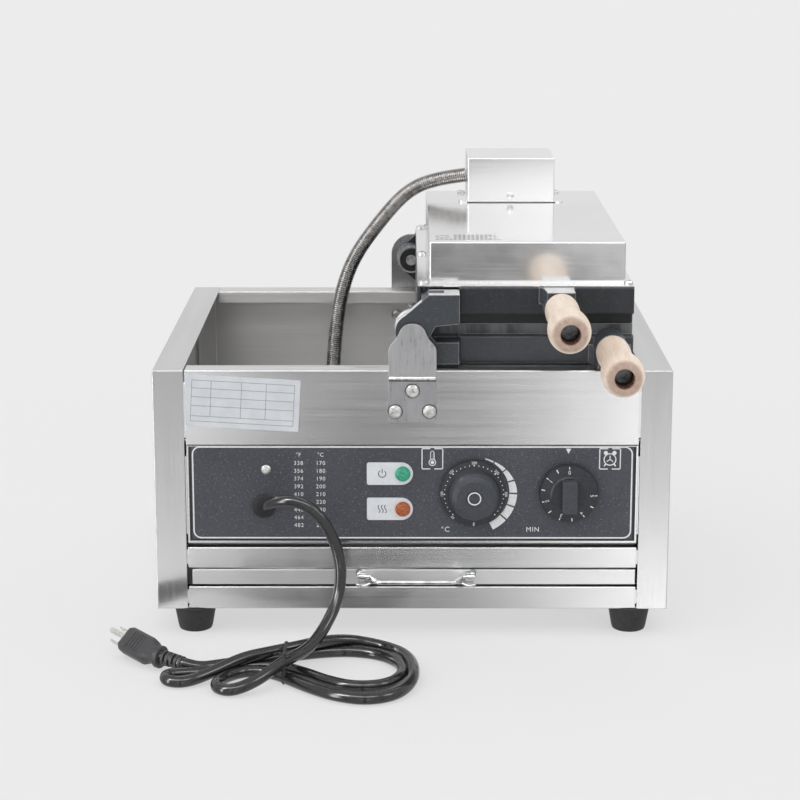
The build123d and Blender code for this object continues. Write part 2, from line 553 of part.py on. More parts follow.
put("lamp_plates", *[lamp_plate(x, z) for x, z in LAMPS])
put("power_lamp", lamp(*LAMPS[0]))
put("heat_lamp", lamp(*LAMPS[1]))
put("panel_screw", pan_y(PSCREW[0], PSCREW[1], OV_Y, -1, 4.0, 2.2, 1.8, 8.0))
tbk = box(-66, -14, -166, -146, 74.8, 92)
for i in range(5):
    tbk -= box(-63 + i * 10, -56 + i * 10, -167, -145, 86, 93)
put("terminal_block", tbk)

# cord bushing in the panel, the cord comes straight out of its nose
put("cord_gland", rev_y([(0, -178.0), (7.8, -178.0), (7.8, OV_Y), (9.6, OV_Y), (9.6, OV_Y - 2.2), (8.8, OV_Y - 3.2), (6.6, OV_Y - 3.6), (5.9, -196.0), (0, -196.0)], *GLAND))

# blank label, stuck on a little crooked
rp = Pos(-137.7, -HD - 0.15, 195.0) * Rot(0, 3.27, 0) * Box(93.0, 0.3, 42.6)
put("rating_plate", rp - box(-190, -FW + 0.4, -HD - 2, -HD + 2, 160, 230))

# ---------------------------------------------------------------- conduits
UP_ROUTE = [(50.0, 115.0, CT + 20.6), (22.0, 113.5, CT + 17.5), (-5.0, 111.0, CT + 6.0), (-31.0, 108.0, 297.0), (-54.0, 106.0, 265.0), (-66.0, 103.5, 231.0), (-71.5, 101.0, 190.0), (-73.5, 96.0, 150.0), (-75.0, 75.0, 112.0), (-76.5, 34.0, 92.0), (-78.0, -20.0, 87.0), (-79.6, -70.0, 91.5), (-79.0, -106.0, 98.0), (-79.0, -129.0, 98.0)]
put("upper_conduit", tube(UP_ROUTE, CONDUIT_R, show="upper conduit"))
LZ = 2 * AXIS_Z - CT - 20.6
LO_ROUTE = [(50.0, 115.0, LZ), (27.0, 113.0, LZ - 5.0), (8.0, 98.0, LZ - 28.0), (2.0, 62.0, 108.0), (6.0, 10.0, 92.0), (12.0, -42.0, 88.0), (15.6, -78.0, 93.0), (16.0, -108.0, 100.0), (16.0, -129.0, 100.0)]
put("lower_conduit", tube(LO_ROUTE, CONDUIT_R, show="lower conduit"))


def gland(x, z):
    g = cyl_y(x, z, -130.0, -122.0, 11.0) + cyl_y(x, z, -131.5, -129.5, 8.5)
    g += extrude(Plane(origin=(x, -131.2, z), x_dir=(1, 0, 0), z_dir=(0, -1, 0)) * RegularPolygon(10.5, 6, major_radius=False), amount=5.5)
    return g - cyl_y(x, z, -129.0, -115, CONDUIT_R + 0.35)


put("conduit_glands", gland(*COND_UP), gland(*COND_LO))

# ---------------------------------------------------------------- power cord
# route from the bushing down to the bundle on the table; the bundle is one solid
CORD_DROP = [(-121.0, -196.0, 108.6), (-120.0, -212.0, 115.5), (-105.1, -225.0, 123.3), (-87.3, -231.0, 123.4), (-72.2, -232.0, 110.8), (-61.6, -233.0, 92.0), (-56.4, -236.0, 68.7), (-59.5, -246.0, 46.0), (-69.8, -263.0, 28.4), (-82.1, -284.0, 18.3)]
put("power_cord", tube(CORD_DROP, CORD_R, show="power cord drop"))
HANK_H = (0.3, 19.9)
outline = [(-203, -309), (-199.5, -322), (-190, -328), (-176, -329), (-162, -320), (-160, -334), (-150, -345), (-134, -347), (-114, -338), (-98, -329), (-82, -342), (-61, -358), (-36, -364), (-11, -355), (1, -330), (4, -300), (1.5, -268), (-10, -243), (-32, -229), (-59, -233), (-81, -245), (-102, -255.5), (-124, -262.5), (-147, -272), (-166, -281), (-181, -286), (-192, -292), (-200, -299)]
hole = [(-80, -277), (-79, -291), (-61, -309), (-44, -323), (-23, -319), (-14, -303), (-15, -281), (-27, -265), (-46, -257), (-66, -266)]
hk = prism_z(outline, *HANK_H) - prism_z(hole, HANK_H[0] - 1, HANK_H[1] + 1)
put("power_cord_hank", hk)
put("cord_tie", box(-101, -97, -334, -249, 0.3, 21.6) - hk)

# plug: relief and collar along one line, grip body along a second, turned onto its edge
P0 = Vector(-179.5, -288.5, 8.8)
PC = Vector(-199.6, -276.5, 10.0)
P1 = Vector(-228.5, -243.0, 12.4)


def along(p, q, roll):
    d = q - p
    side = Vector(0, 0, 1).cross(d).normalized()
    top = d.normalized().cross(side)
    w = side * math.cos(math.radians(roll)) + top * math.sin(math.radians(roll))
    return Plane(origin=p, z_dir=d, x_dir=w), d.length


pr, RL = along(P0, PC, -42.0)
pp, PL = along(PC, P1, -42.0)
plug = pr * (Cylinder(6.2, RL + 1.0, align=(Align.CENTER, Align.CENTER, Align.MIN)) + Pos(0, 0, RL - 3) * Cylinder(9.2, 5, align=(Align.CENTER, Align.CENTER, Align.MIN)))
plug += pp * Cylinder(7.6, 18, align=(Align.CENTER, Align.CENTER, Align.MIN))
hexa = [(-11.2, -4.0), (-6.0, -8.0), (6.0, -8.0), (11.2, -4.0), (11.2, 3.6), (8.6, 7.0), (-8.6, 7.0), (-11.2, 3.6)]
plug += pp * Pos(0, 0, 15) * extrude(make_face(Polyline(*hexa, close=True)), amount=PL - 15)
put("plug_body", plug - hk)
blades = []
for sx in (-6.35, 6.35):
    blades.append(pp * Pos(sx, -3.2, PL + 9.5) * Box(1.6, 6.4, 19.0))
blades.append(pp * Pos(0, 4.4, PL) * Cylinder(2.4, 20.0, align=(Align.CENTER, Align.CENTER, Align.MIN)))
put("plug_blades", *blades)

# ---------------------------------------------------------------- crumb tray
TX = 178.0
tr = box(-TX, TX, -188.7, 162.0, 42.1, 54.0) - box(-TX + 1, TX - 1, -187.6, 161.0, 43.1, 56)
fp = box(-180.5, 183.0, -HD, -188.7, 42.0, 54.7)
fp = soften(fp, [lambda c: near(c.Y, -HD) and (near(c.Z, 54.7) or near(c.Z, 42.0))], 0.6)
EAR_X = (-41.0, 47.5)
EAR_Y, EAR_Z = -194.8, 50.0
put("crumb_tray", tr + fp)


def ear(x):
    g = box(x - 3.2, x + 3.2, -191.2, -190.0, 44.0, 54.0) + box(x - 2.6, x + 2.6, EAR_Y, -190.5, EAR_Z - 2.6, EAR_Z + 2.6)
    g += cyl_x(EAR_Y, EAR_Z, x - 2.6, x + 2.6, 3.3)
    return g - cyl_x(EAR_Y, EAR_Z, x - 5, x + 5, 1.75 + RUN)


put("tray_handle_mounts", ear(EAR_X[0]), ear(EAR_X[1]))
bail = tube([(EAR_X[0] - 4.0, EAR_Y, EAR_Z), (EAR_X[0] + 6.5, EAR_Y, EAR_Z), (EAR_X[0] + 13, EAR_Y - 13, EAR_Z - 0.8), (EAR_X[1] - 13, EAR_Y - 13, EAR_Z - 0.8), (EAR_X[1] - 6.5, EAR_Y, EAR_Z), (EAR_X[1] + 4.0, EAR_Y, EAR_Z)], 1.75, radii=[2.6, 4.0, 4.0, 2.6], show="bail")
put("tray_bail_handle", bail)

whole = Compound(children=[s.solids()[0] if len(s.solids()) == 1 else Compound(children=list(s.solids())) for s in made.values()])
bb = whole.bounding_box()
print("nodes", len(made), "box", bb.min, bb.max)
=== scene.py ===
import bpy
import json
import math
import random
from mathutils import Matrix, Vector


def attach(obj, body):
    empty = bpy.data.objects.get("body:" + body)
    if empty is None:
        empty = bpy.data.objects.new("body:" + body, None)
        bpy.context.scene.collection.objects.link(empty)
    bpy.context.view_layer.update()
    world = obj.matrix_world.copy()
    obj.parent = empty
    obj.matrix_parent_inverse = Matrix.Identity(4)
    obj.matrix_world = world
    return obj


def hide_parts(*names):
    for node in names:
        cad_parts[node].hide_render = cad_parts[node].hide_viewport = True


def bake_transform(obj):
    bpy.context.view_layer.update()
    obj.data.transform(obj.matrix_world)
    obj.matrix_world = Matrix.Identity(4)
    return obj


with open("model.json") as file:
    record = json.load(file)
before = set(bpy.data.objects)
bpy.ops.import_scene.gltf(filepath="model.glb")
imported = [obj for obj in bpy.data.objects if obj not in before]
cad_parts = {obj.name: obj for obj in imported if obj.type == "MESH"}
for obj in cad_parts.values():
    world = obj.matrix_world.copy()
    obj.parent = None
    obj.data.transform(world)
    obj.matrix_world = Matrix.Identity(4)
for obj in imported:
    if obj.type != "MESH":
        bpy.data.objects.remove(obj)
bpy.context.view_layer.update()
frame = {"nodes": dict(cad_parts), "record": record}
nodes = frame["nodes"]
scene = bpy.context.scene
random.seed(7)


def P(x, y, z):
    """Millimetres, Y measured from the cabinet's middle, to metres in the row frame."""
    return Vector((x * 0.001, (y + 50.0) * 0.001, z * 0.001))


# ------------------------------------------------------------------ camera
cam_data = bpy.data.cameras.new("camera")
cam = bpy.data.objects.new("camera", cam_data)
scene.collection.objects.link(cam)
cam.location = (-0.0063, -1.8906, 0.6031)
cam.rotation_euler = (math.radians(90.0 - 13.04), 0.0, math.radians(0.121))
cam_data.sensor_width = 36.0
cam_data.sensor_height = 36.0
cam_data.sensor_fit = "HORIZONTAL"
cam_data.lens = 100.2
cam_data.clip_end = 400.0
scene.camera = cam
scene.view_settings.view_transform = "Standard"
scene.view_settings.look = "None"
scene.view_settings.exposure = 0.0
scene.view_settings.gamma = 1.0


# ------------------------------------------------------------------ material kit
class Mat:
    """A principled material, with short calls for the nodes that feed it."""

    def __init__(self, name, **vals):
        self.m = bpy.data.materials.new(name)
        self.m.use_nodes = True
        self.t = self.m.node_tree
        for n in list(self.t.nodes):
            self.t.nodes.remove(n)
        self.out = self.node("ShaderNodeOutputMaterial")
        self.p = self.node("ShaderNodeBsdfPrincipled")
        self.t.links.new(self.p.outputs[0], self.out.inputs[0])
        self.co = self.node("ShaderNodeTexCoord").outputs["Object"]
        self.set(**vals)

    def node(self, kind, **kw):
        n = self.t.nodes.new(kind)
        for k, v in kw.items():
            setattr(n, k, v)
        return n

    def link(self, a, b):
        self.t.links.new(a, b)

    def set(self, **vals):
        for k, v in vals.items():
            s = self.p.inputs[k.replace("_", " ")]
            s.default_value = (v[0], v[1], v[2], 1.0) if isinstance(v, tuple) and len(v) == 3 else v

    def scaled(self, sx, sy, sz, src=None):
        n = self.node("ShaderNodeMapping")
        n.inputs["Scale"].default_value = (sx, sy, sz)
        self.link(src or self.co, n.inputs["Vector"])
        return n.outputs[0]

    def noise(self, vec, scale=1.0, detail=3.0, rough=0.55, dist=0.0):
        n = self.node("ShaderNodeTexNoise")
        n.inputs["Scale"].default_value = scale
        n.inputs["Detail"].default_value = detail
        n.inputs["Roughness"].default_value = rough
        n.inputs["Distortion"].default_value = dist
        self.link(vec, n.inputs["Vector"])
        return n.outputs["Fac"]

    def cells(self, vec, scale, feature="F1", rnd=1.0):
        n = self.node("ShaderNodeTexVoronoi", feature=feature)
        n.inputs["Scale"].default_value = scale
        n.inputs["Randomness"].default_value = rnd
        self.link(vec, n.inputs["Vector"])
        return n

    def ramp(self, fac, stops, mode="LINEAR"):
        n = self.node("ShaderNodeValToRGB")
        n.color_ramp.interpolation = mode
        e = n.color_ramp.elements
        while len(e) > 1:
            e.remove(e[-1])
        e[0].position = stops[0][0]
        e[0].color = grey(stops[0][1])
        for pos, c in stops[1:]:
            k = e.new(pos)
            k.color = grey(c)
        self.link(fac, n.inputs[0])
        return n.outputs[0]

    def maths(self, op, a, b=0.0, clamp=False):
        n = self.node("ShaderNodeMath", operation=op, use_clamp=clamp)
        for i, v in enumerate((a, b)):
            if isinstance(v, (int, float)):
                n.inputs[i].default_value = v
            else:
                self.link(v, n.inputs[i])
        return n.outputs[0]

    def span(self, v, a, b, c, d):
        n = self.node("ShaderNodeMapRange")
        self.link(v, n.inputs["Value"])
        n.inputs["From Min"].default_value = a
        n.inputs["From Max"].default_value = b
        n.inputs["To Min"].default_value = c
        n.inputs["To Max"].default_value = d
        return n.outputs[0]

    def mix(self, fac, a, b, blend="MIX"):
        n = self.node("ShaderNodeMix", data_type="RGBA", blend_type=blend)
        if isinstance(fac, (int, float)):
            n.inputs[0].default_value = fac
        else:
            self.link(fac, n.inputs[0])
        for i, v in ((6, a), (7, b)):
            if isinstance(v, (tuple, float, int)):
                n.inputs[i].default_value = grey(v)
            else:
                self.link(v, n.inputs[i])
        return n.outputs[2]

    def bump(self, height, strength=0.2, dist=0.0004, prev=None):
        n = self.node("ShaderNodeBump")
        n.inputs["Strength"].default_value = strength
        n.inputs["Distance"].default_value = dist
        self.link(height, n.inputs["Height"])
        if prev is not None:
            self.link(prev, n.inputs["Normal"])
        return n.outputs[0]

    def soft_edge(self, radius):
        """Rounded shading across sharp edges, and a mask that is 1 along them."""
        b = self.node("ShaderNodeBevel", samples=6)
        b.inputs["Radius"].default_value = radius
        g = self.node("ShaderNodeNewGeometry")
        d = self.node("ShaderNodeVectorMath", operation="DOT_PRODUCT")
        self.link(b.outputs[0], d.inputs[0])
        self.link(g.outputs["Normal"], d.inputs[1])
        return b.outputs[0], self.span(d.outputs["Value"], 0.995, 0.90, 0.0, 1.0)

    def axis(self, i):
        n = self.node("ShaderNodeSeparateXYZ")
        self.link(self.co, n.inputs[0])
        return n.outputs[i]

    def color(self, s):
        self.link(s, self.p.inputs["Base Color"])

    def roughness(self, s):
        self.link(s, self.p.inputs["Roughness"])

    def normal(self, s):
        self.link(s, self.p.inputs["Normal"])


def grey(c):
    if isinstance(c, (int, float)):
        return (c, c, c, 1.0)
    return (c[0], c[1], c[2], 1.0)


def brushed(name, low, high, rough=(0.18, 0.25), aniso=0.95, fine=(30, 30, 2600), streak=(5, 5, 420), bump=0.05, turn=0.25, metal=1.0, edge=0.0006):
    """Brushed sheet: fine lines along the level, so that gloss spreads up and down."""
    k = Mat(name, Metallic=metal, Anisotropic=aniso, Anisotropic_Rotation=turn)
    tg = k.node("ShaderNodeTangent", direction_type="RADIAL", axis="Z")
    k.link(tg.outputs[0], k.p.inputs["Tangent"])
    a = k.noise(k.scaled(*fine), 1.0, 4.0, 0.6)
    b = k.noise(k.scaled(*streak), 1.0, 3.0, 0.5)
    c = k.noise(k.co, 9.0, 3.0, 0.55)
    s = k.maths("ADD", k.maths("MULTIPLY", a, 0.45), k.maths("MULTIPLY", b, 0.3))
    s = k.maths("ADD", s, k.maths("MULTIPLY", c, 0.25))
    k.color(k.ramp(s, [(0.3, low), (0.7, high)]))
    r = k.maths("ADD", k.maths("MULTIPLY", b, 0.5), k.maths("MULTIPLY", c, 0.5))
    k.roughness(k.span(r, 0.3, 0.7, rough[0], rough[1]))
    soft, wear = k.soft_edge(edge)
    k.normal(k.bump(a, bump, 0.0002, prev=soft))
    return k.m


# ------------------------------------------------------------------ materials
STEEL = brushed("brushed_stainless", (0.64, 0.64, 0.645), (0.74, 0.74, 0.74))
STEEL_WARM = brushed("brushed_stainless_inner", (0.63, 0.62, 0.605), (0.72, 0.71, 0.695), rough=(0.28, 0.40), aniso=0.8, metal=0.85)
POST = brushed("brushed_stainless_upright", (0.55, 0.55, 0.555), (0.64, 0.64, 0.64), metal=0.86, aniso=0.6, rough=(0.16, 0.24), fine=(2600, 2600, 30), streak=(420, 420, 5), turn=0.0)
TRAY = brushed("brushed_stainless_tray", (0.70, 0.70, 0.705), (0.80, 0.80, 0.80), metal=0.62)
BOX_STEEL = brushed("box_stainless", (0.79, 0.79, 0.79), (0.87, 0.87, 0.87), rough=(0.13, 0.20), aniso=0.3, metal=0.92, edge=0.00025)
# painted shade: the tray runners are coloured near-black, standing in for the shade in the cavity round the tray
RUNNER_PAINTED_SHADE = brushed("runner_sheet_painted_shade", (0.05, 0.05, 0.05), (0.09, 0.09, 0.09), rough=(0.30, 0.45), aniso=0.3, metal=0.8)

# the bracket: darker below its step, lighter above it
k = Mat("bracket_satin", Metallic=1.0, Anisotropic=0.5)
a = k.noise(k.scaled(900, 900, 60), 1.0, 4.0, 0.6)
c = k.noise(k.co, 60.0, 4.0, 0.6)
s = k.maths("ADD", k.maths("MULTIPLY", a, 0.6), k.maths("MULTIPLY", c, 0.4))
upper_part = k.span(k.axis(2), 0.2160, 0.2166, 0.0, 1.0)
k.color(k.mix(upper_part, k.ramp(s, [(0.3, (0.32, 0.32, 0.33)), (0.7, (0.41, 0.41, 0.42))]), k.ramp(s, [(0.3, (0.37, 0.37, 0.38)), (0.7, (0.49, 0.49, 0.50))])))
k.roughness(k.span(s, 0.3, 0.7, 0.24, 0.36))
soft, wear = k.soft_edge(0.0006)
k.normal(k.bump(a, 0.08, 0.0002, prev=soft))
BRACKET = k.m

k = Mat("black_oxide_rod", Metallic=1.0)
a = k.noise(k.scaled(300, 40, 300), 1.0, 4.0, 0.6)
k.color(k.ramp(a, [(0.3, (0.07, 0.07, 0.075)), (0.7, (0.16, 0.16, 0.165))]))
k.roughness(k.span(a, 0.3, 0.7, 0.22, 0.38))
k.normal(k.bump(a, 0.10, 0.0002))
OXIDE = k.m

k = Mat("polished_stainless", Metallic=1.0, Anisotropic=0.2)
c = k.noise(k.co, 14.0, 4.0, 0.6)
f = k.noise(k.scaled(20, 700, 700), 1.0, 3.0, 0.5)
k.color(k.ramp(c, [(0.3, (0.76, 0.76, 0.765)), (0.7, (0.83, 0.83, 0.83))]))
k.roughness(k.span(k.maths("ADD", k.maths("MULTIPLY", c, 0.7), k.maths("MULTIPLY", f, 0.3)), 0.3, 0.7, 0.09, 0.18))
soft, wear = k.soft_edge(0.0003)
k.normal(k.bump(k.noise(k.co, 22.0, 2.0), 0.05, 0.0006, prev=soft))
POLISHED = k.m

k = Mat("bright_hardware", Metallic=1.0)
c = k.noise(k.co, 260.0, 4.0, 0.65)
k.color(k.ramp(c, [(0.35, (0.50, 0.50, 0.49)), (0.62, (0.80, 0.80, 0.78))]))
k.roughness(k.span(c, 0.3, 0.7, 0.22, 0.42))
k.normal(k.bump(c, 0.12, 0.0002))
HARDWARE = k.m

k = Mat("chrome_wire", Metallic=1.0)
c = k.noise(k.co, 160.0, 3.0, 0.6)
k.color(k.ramp(c, [(0.35, (0.56, 0.56, 0.56)), (0.65, (0.74, 0.74, 0.74))]))
k.roughness(k.span(c, 0.3, 0.7, 0.08, 0.22))
k.normal(k.bump(c, 0.04, 0.0001))
CHROME = k.m

def cast(name, low, high, recess_shade):
    """Dark speckled coating, rubbed through to light metal along its edges, with painted shade in the parting recess
    and a painted highlight on the lip below it.
    """
    k = Mat(name, Specular_IOR_Level=0.33, Coat_Weight=0.05, Coat_Roughness=0.35)
    v = k.cells(k.co, 900.0)
    sp = k.ramp(v.outputs["Distance"], [(0.10, 1.0), (0.24, 0.0)])
    pick = k.ramp(k.noise(k.co, 620.0, 2.0, 0.6), [(0.48, 0.0), (0.56, 1.0)])
    speck = k.maths("MULTIPLY", sp, pick)
    base = k.ramp(k.noise(k.co, 30.0, 4.0, 0.6), [(0.3, low), (0.7, high)])
    # the arm and knuckles, in front of the bar, carry a paler and more speckled coat
    arm = k.span(k.axis(1), -0.1150, -0.1144, 1.0, 0.0)
    base = k.mix(k.maths("MULTIPLY", arm, 0.8), base, (0.050, 0.056, 0.065))
    base = k.mix(k.maths("MULTIPLY", speck, k.maths("ADD", k.maths("MULTIPLY", arm, 0.4), 0.5)), base, (0.33, 0.345, 0.365))
    soft, wear = k.soft_edge(0.0011)
    rub = k.maths("MULTIPLY", wear, k.ramp(k.noise(k.co, 240.0, 4.0, 0.7), [(0.36, 0.35), (0.54, 1.0)]))
    base = k.mix(k.maths("MULTIPLY", rub, 0.9), base, (0.50, 0.51, 0.52))
    # painted shade: the inside of the parting recess is coloured near-black where it lies in shade
    recess_shade_mask = k.maths("MULTIPLY", k.span(k.axis(1), -0.1047, -0.1045, 0.0, 1.0), k.span(k.axis(1), -0.1035, -0.1033, 1.0, 0.0))
    base = k.mix(k.maths("MULTIPLY", recess_shade_mask, recess_shade), base, (0.006, 0.006, 0.007))
    if not recess_shade:
        # painted highlight: the sloping lip under the parting line is lightened in upright streaks, standing in for the
        # light it catches
        lip_highlight = k.maths("MULTIPLY", k.span(k.axis(2), 0.2452, 0.2458, 0.0, 1.0), k.span(k.axis(1), -0.1095, -0.1090, 0.0, 1.0))
        lip_highlight = k.maths("MULTIPLY", lip_highlight, k.span(k.axis(1), -0.1030, -0.1025, 1.0, 0.0))
        lip_highlight = k.maths("MULTIPLY", lip_highlight, k.ramp(k.noise(k.scaled(90, 4, 12), 1.0, 3.0, 0.6), [(0.40, 0.15), (0.58, 0.8)]))
        base = k.mix(lip_highlight, base, (0.17, 0.175, 0.18))
    k.color(base)
    k.roughness(k.span(k.noise(k.co, 75.0, 3.0, 0.6), 0.3, 0.7, 0.34, 0.50))
    k.normal(k.bump(k.noise(k.co, 800.0, 3.0, 0.6), 0.22, 0.00025, prev=soft))
    return k.m


CAST = cast("coated_cast_upper", (0.017, 0.019, 0.023), (0.028, 0.031, 0.037), 0.9)
CAST_RELIEF = cast("coated_cast_relief", (0.055, 0.060, 0.068), (0.085, 0.090, 0.100), 0.0)
CAST_LOW = cast("coated_cast_lower", (0.036, 0.040, 0.047), (0.054, 0.059, 0.068), 0.0)

# pale rubbed metal; on the arm's sloping face it is also a painted highlight
k = Mat("rubbed_bare_metal_and_painted_highlight", Metallic=0.6)
c = k.noise(k.co, 300.0, 5.0, 0.7)
d = k.noise(k.co, 60.0, 3.0, 0.6)
s = k.maths("ADD", k.maths("MULTIPLY", c, 0.6), k.maths("MULTIPLY", d, 0.4))
k.color(k.ramp(s, [(0.32, (0.40, 0.40, 0.40)), (0.46, (0.76, 0.76, 0.755)), (0.7, (0.90, 0.90, 0.89))]))
k.roughness(k.span(s, 0.3, 0.7, 0.46, 0.28))
k.normal(k.bump(c, 0.15, 0.0002))
BARE_METAL_AND_HIGHLIGHT = k.m

k = Mat("hatch_ink", Specular_IOR_Level=0.3)
c = k.noise(k.co, 500.0, 3.0, 0.6)
k.color(k.ramp(c, [(0.3, (0.14, 0.14, 0.15)), (0.7, (0.26, 0.26, 0.27))]))
k.roughness(k.span(c, 0.3, 0.7, 0.45, 0.6))
k.normal(k.bump(c, 0.05, 0.0001))
HATCH = k.m

k = Mat("heater_steel", Metallic=0.9)
c = k.noise(k.co, 60.0, 4.0, 0.65)
k.color(k.ramp(c, [(0.3, (0.16, 0.14, 0.12)), (0.7, (0.34, 0.31, 0.28))]))
k.roughness(k.span(c, 0.3, 0.7, 0.4, 0.6))
k.normal(k.bump(c, 0.2, 0.0003))
HEATER = k.m

k = Mat("conduit_steel", Metallic=1.0)
c = k.noise(k.co, 120.0, 4.0, 0.6)
k.color(k.ramp(c, [(0.3, (0.20, 0.195, 0.19)), (0.7, (0.33, 0.32, 0.31))]))
k.roughness(k.span(c, 0.3, 0.7, 0.20, 0.34))
k.normal(k.bump(c, 0.1, 0.0002))
CONDUIT = k.m

k = Mat("beech_wood", Specular_IOR_Level=0.25)
g1 = k.noise(k.scaled(150, 9, 150), 1.0, 5.0, 0.6, 0.4)
g2 = k.noise(k.scaled(1500, 120, 1500), 1.0, 3.0, 0.6)
g3 = k.noise(k.scaled(45, 5, 45), 1.0, 3.0, 0.5, 0.8)
fleck = k.ramp(k.noise(k.scaled(1100, 150, 1100), 1.0, 2.0, 0.5), [(0.60, 0.0), (0.70, 1.0)])
wood = k.ramp(g1, [(0.28, (0.76, 0.61, 0.49)), (0.52, (0.87, 0.75, 0.63)), (0.75, (0.94, 0.85, 0.75))])
wood = k.mix(k.maths("MULTIPLY", g3, 0.30), wood, (0.84, 0.66, 0.54))
wood = k.mix(k.maths("MULTIPLY", fleck, 0.45), wood, (0.54, 0.36, 0.27))
nz = k.node("ShaderNodeSeparateXYZ")
k.link(k.node("ShaderNodeTexCoord").outputs["Normal"], nz.inputs[0])
end_grain = k.span(k.maths("ABSOLUTE", nz.outputs[1]), 0.45, 0.85, 0.0, 1.0)
wood = k.mix(end_grain, wood, k.ramp(k.noise(k.scaled(260, 260, 260), 1.0, 4.0, 0.6), [(0.3, (0.42, 0.30, 0.24)), (0.7, (0.58, 0.44, 0.36))]))
# bores darkened to reddish brown, out to a thin ring round their mouths
gx, gz = k.axis(0), k.axis(2)


def from_axis(a, b):
    dx, dz = k.maths("SUBTRACT", gx, a), k.maths("SUBTRACT", gz, b)
    return k.maths("SQRT", k.maths("ADD", k.maths("MULTIPLY", dx, dx), k.maths("MULTIPLY", dz, dz)))


bore = k.span(k.maths("MINIMUM", from_axis(0.119, 0.272), from_axis(0.1605, 0.238)), 0.0076, 0.0084, 1.0, 0.0)
wood = k.mix(k.maths("MULTIPLY", bore, 0.92), wood, k.ramp(g1, [(0.3, (0.085, 0.030, 0.020)), (0.7, (0.22, 0.085, 0.055))]))
k.color(wood)
k.roughness(k.span(g2, 0.3, 0.7, 0.48, 0.66))
k.normal(k.bump(g2, 0.22, 0.0003))
WOOD = k.m

k = Mat("black_rubber", Specular_IOR_Level=0.28)
c = k.noise(k.co, 240.0, 4.0, 0.65)
k.color(k.ramp(c, [(0.3, (0.022, 0.022, 0.023)), (0.7, (0.040, 0.040, 0.042))]))
k.roughness(k.span(c, 0.3, 0.7, 0.5, 0.7))
k.normal(k.bump(c, 0.25, 0.0003))
RUBBER = k.m

k = Mat("plug_rubber", Specular_IOR_Level=0.40)
c = k.noise(k.co, 500.0, 4.0, 0.65)
k.color(k.ramp(c, [(0.3, (0.036, 0.036, 0.038)), (0.7, (0.060, 0.060, 0.063))]))
k.roughness(k.span(c, 0.3, 0.7, 0.40, 0.55))
k.normal(k.bump(c, 0.25, 0.0003))
PLUG = k.m

k = Mat("cord_rubber", Specular_IOR_Level=0.60)
c = k.noise(k.co, 300.0, 4.0, 0.6)
d = k.noise(k.co, 24.0, 2.0, 0.5)
k.color(k.ramp(c, [(0.3, (0.013, 0.013, 0.014)), (0.7, (0.021, 0.021, 0.022))]))
k.roughness(k.span(d, 0.3, 0.7, 0.12, 0.18))
k.normal(k.bump(c, 0.06, 0.0002))
CORD = k.m

k = Mat("plug_metal", Metallic=1.0)
c = k.noise(k.co, 220.0, 4.0, 0.6)
k.color(k.ramp(c, [(0.3, (0.62, 0.61, 0.58)), (0.7, (0.80, 0.79, 0.75))]))
k.roughness(k.span(c, 0.3, 0.7, 0.2, 0.34))
k.normal(k.bump(c, 0.06, 0.0001))
BLADE = k.m

k = Mat("overlay_film", Specular_IOR_Level=0.33)
v1 = k.cells(k.co, 700.0)
s1 = k.ramp(v1.outputs["Distance"], [(0.16, 1.0), (0.34, 0.0)])
p1 = k.ramp(k.noise(k.co, 430.0, 2.0, 0.6), [(0.50, 0.0), (0.62, 1.0)])
v2 = k.cells(k.scaled(1, 1, 1), 460.0)
s2 = k.ramp(v2.outputs["Distance"], [(0.12, 1.0), (0.36, 0.0)])
base = k.ramp(k.noise(k.co, 16.0, 3.0, 0.5), [(0.3, (0.060, 0.063, 0.076)), (0.7, (0.078, 0.081, 0.095))])
base = k.mix(k.maths("MULTIPLY", s2, 0.55), base, (0.026, 0.028, 0.036))
base = k.mix(k.maths("MULTIPLY", k.maths("MULTIPLY", s1, p1), 0.9), base, (0.24, 0.25, 0.275))
k.color(base)
k.roughness(k.span(k.noise(k.co, 500.0, 3.0, 0.6), 0.3, 0.7, 0.42, 0.6))
k.normal(k.bump(k.noise(k.co, 900.0, 3.0, 0.6), 0.15, 0.0002))
OVERLAY = k.m

# near-black: the film's dark rim, and painted shade in gaps, round screw heads, under the bracket's step and along the
# box's foot
k = Mat("film_rim_and_painted_shade", Specular_IOR_Level=0.5)
c = k.noise(k.co, 300.0, 3.0, 0.6)
k.color(k.ramp(c, [(0.3, (0.006, 0.006, 0.007)), (0.7, (0.014, 0.014, 0.016))]))
k.roughness(k.span(c, 0.3, 0.7, 0.35, 0.55))
k.normal(k.bump(c, 0.08, 0.0002))
FILM_RIM_AND_SHADE = k.m

k = Mat("white_ink", Specular_IOR_Level=0.4)
c = k.noise(k.co, 420.0, 3.0, 0.6)
k.color(k.ramp(c, [(0.3, (0.72, 0.73, 0.74)), (0.6, (0.88, 0.88, 0.89))]))
k.roughness(k.span(c, 0.3, 0.7, 0.4, 0.55))
k.normal(k.bump(c, 0.05, 0.0001))
INK = k.m

k = Mat("dark_ink", Specular_IOR_Level=0.4)
c = k.noise(k.co, 420.0, 3.0, 0.6)
k.color(k.ramp(c, [(0.3, (0.055, 0.055, 0.06)), (0.6, (0.12, 0.12, 0.125))]))
k.roughness(k.span(c, 0.3, 0.7, 0.45, 0.6))
k.normal(k.bump(c, 0.05, 0.0001))
DARK_INK = k.m

k = Mat("white_plastic", Specular_IOR_Level=0.5)
c = k.noise(k.co, 180.0, 3.0, 0.6)
k.color(k.ramp(c, [(0.3, (0.71, 0.73, 0.76)), (0.7, (0.79, 0.81, 0.84))]))
k.roughness(k.span(c, 0.3, 0.7, 0.25, 0.38))
k.normal(k.bump(c, 0.05, 0.0002))
WHITE = k.m

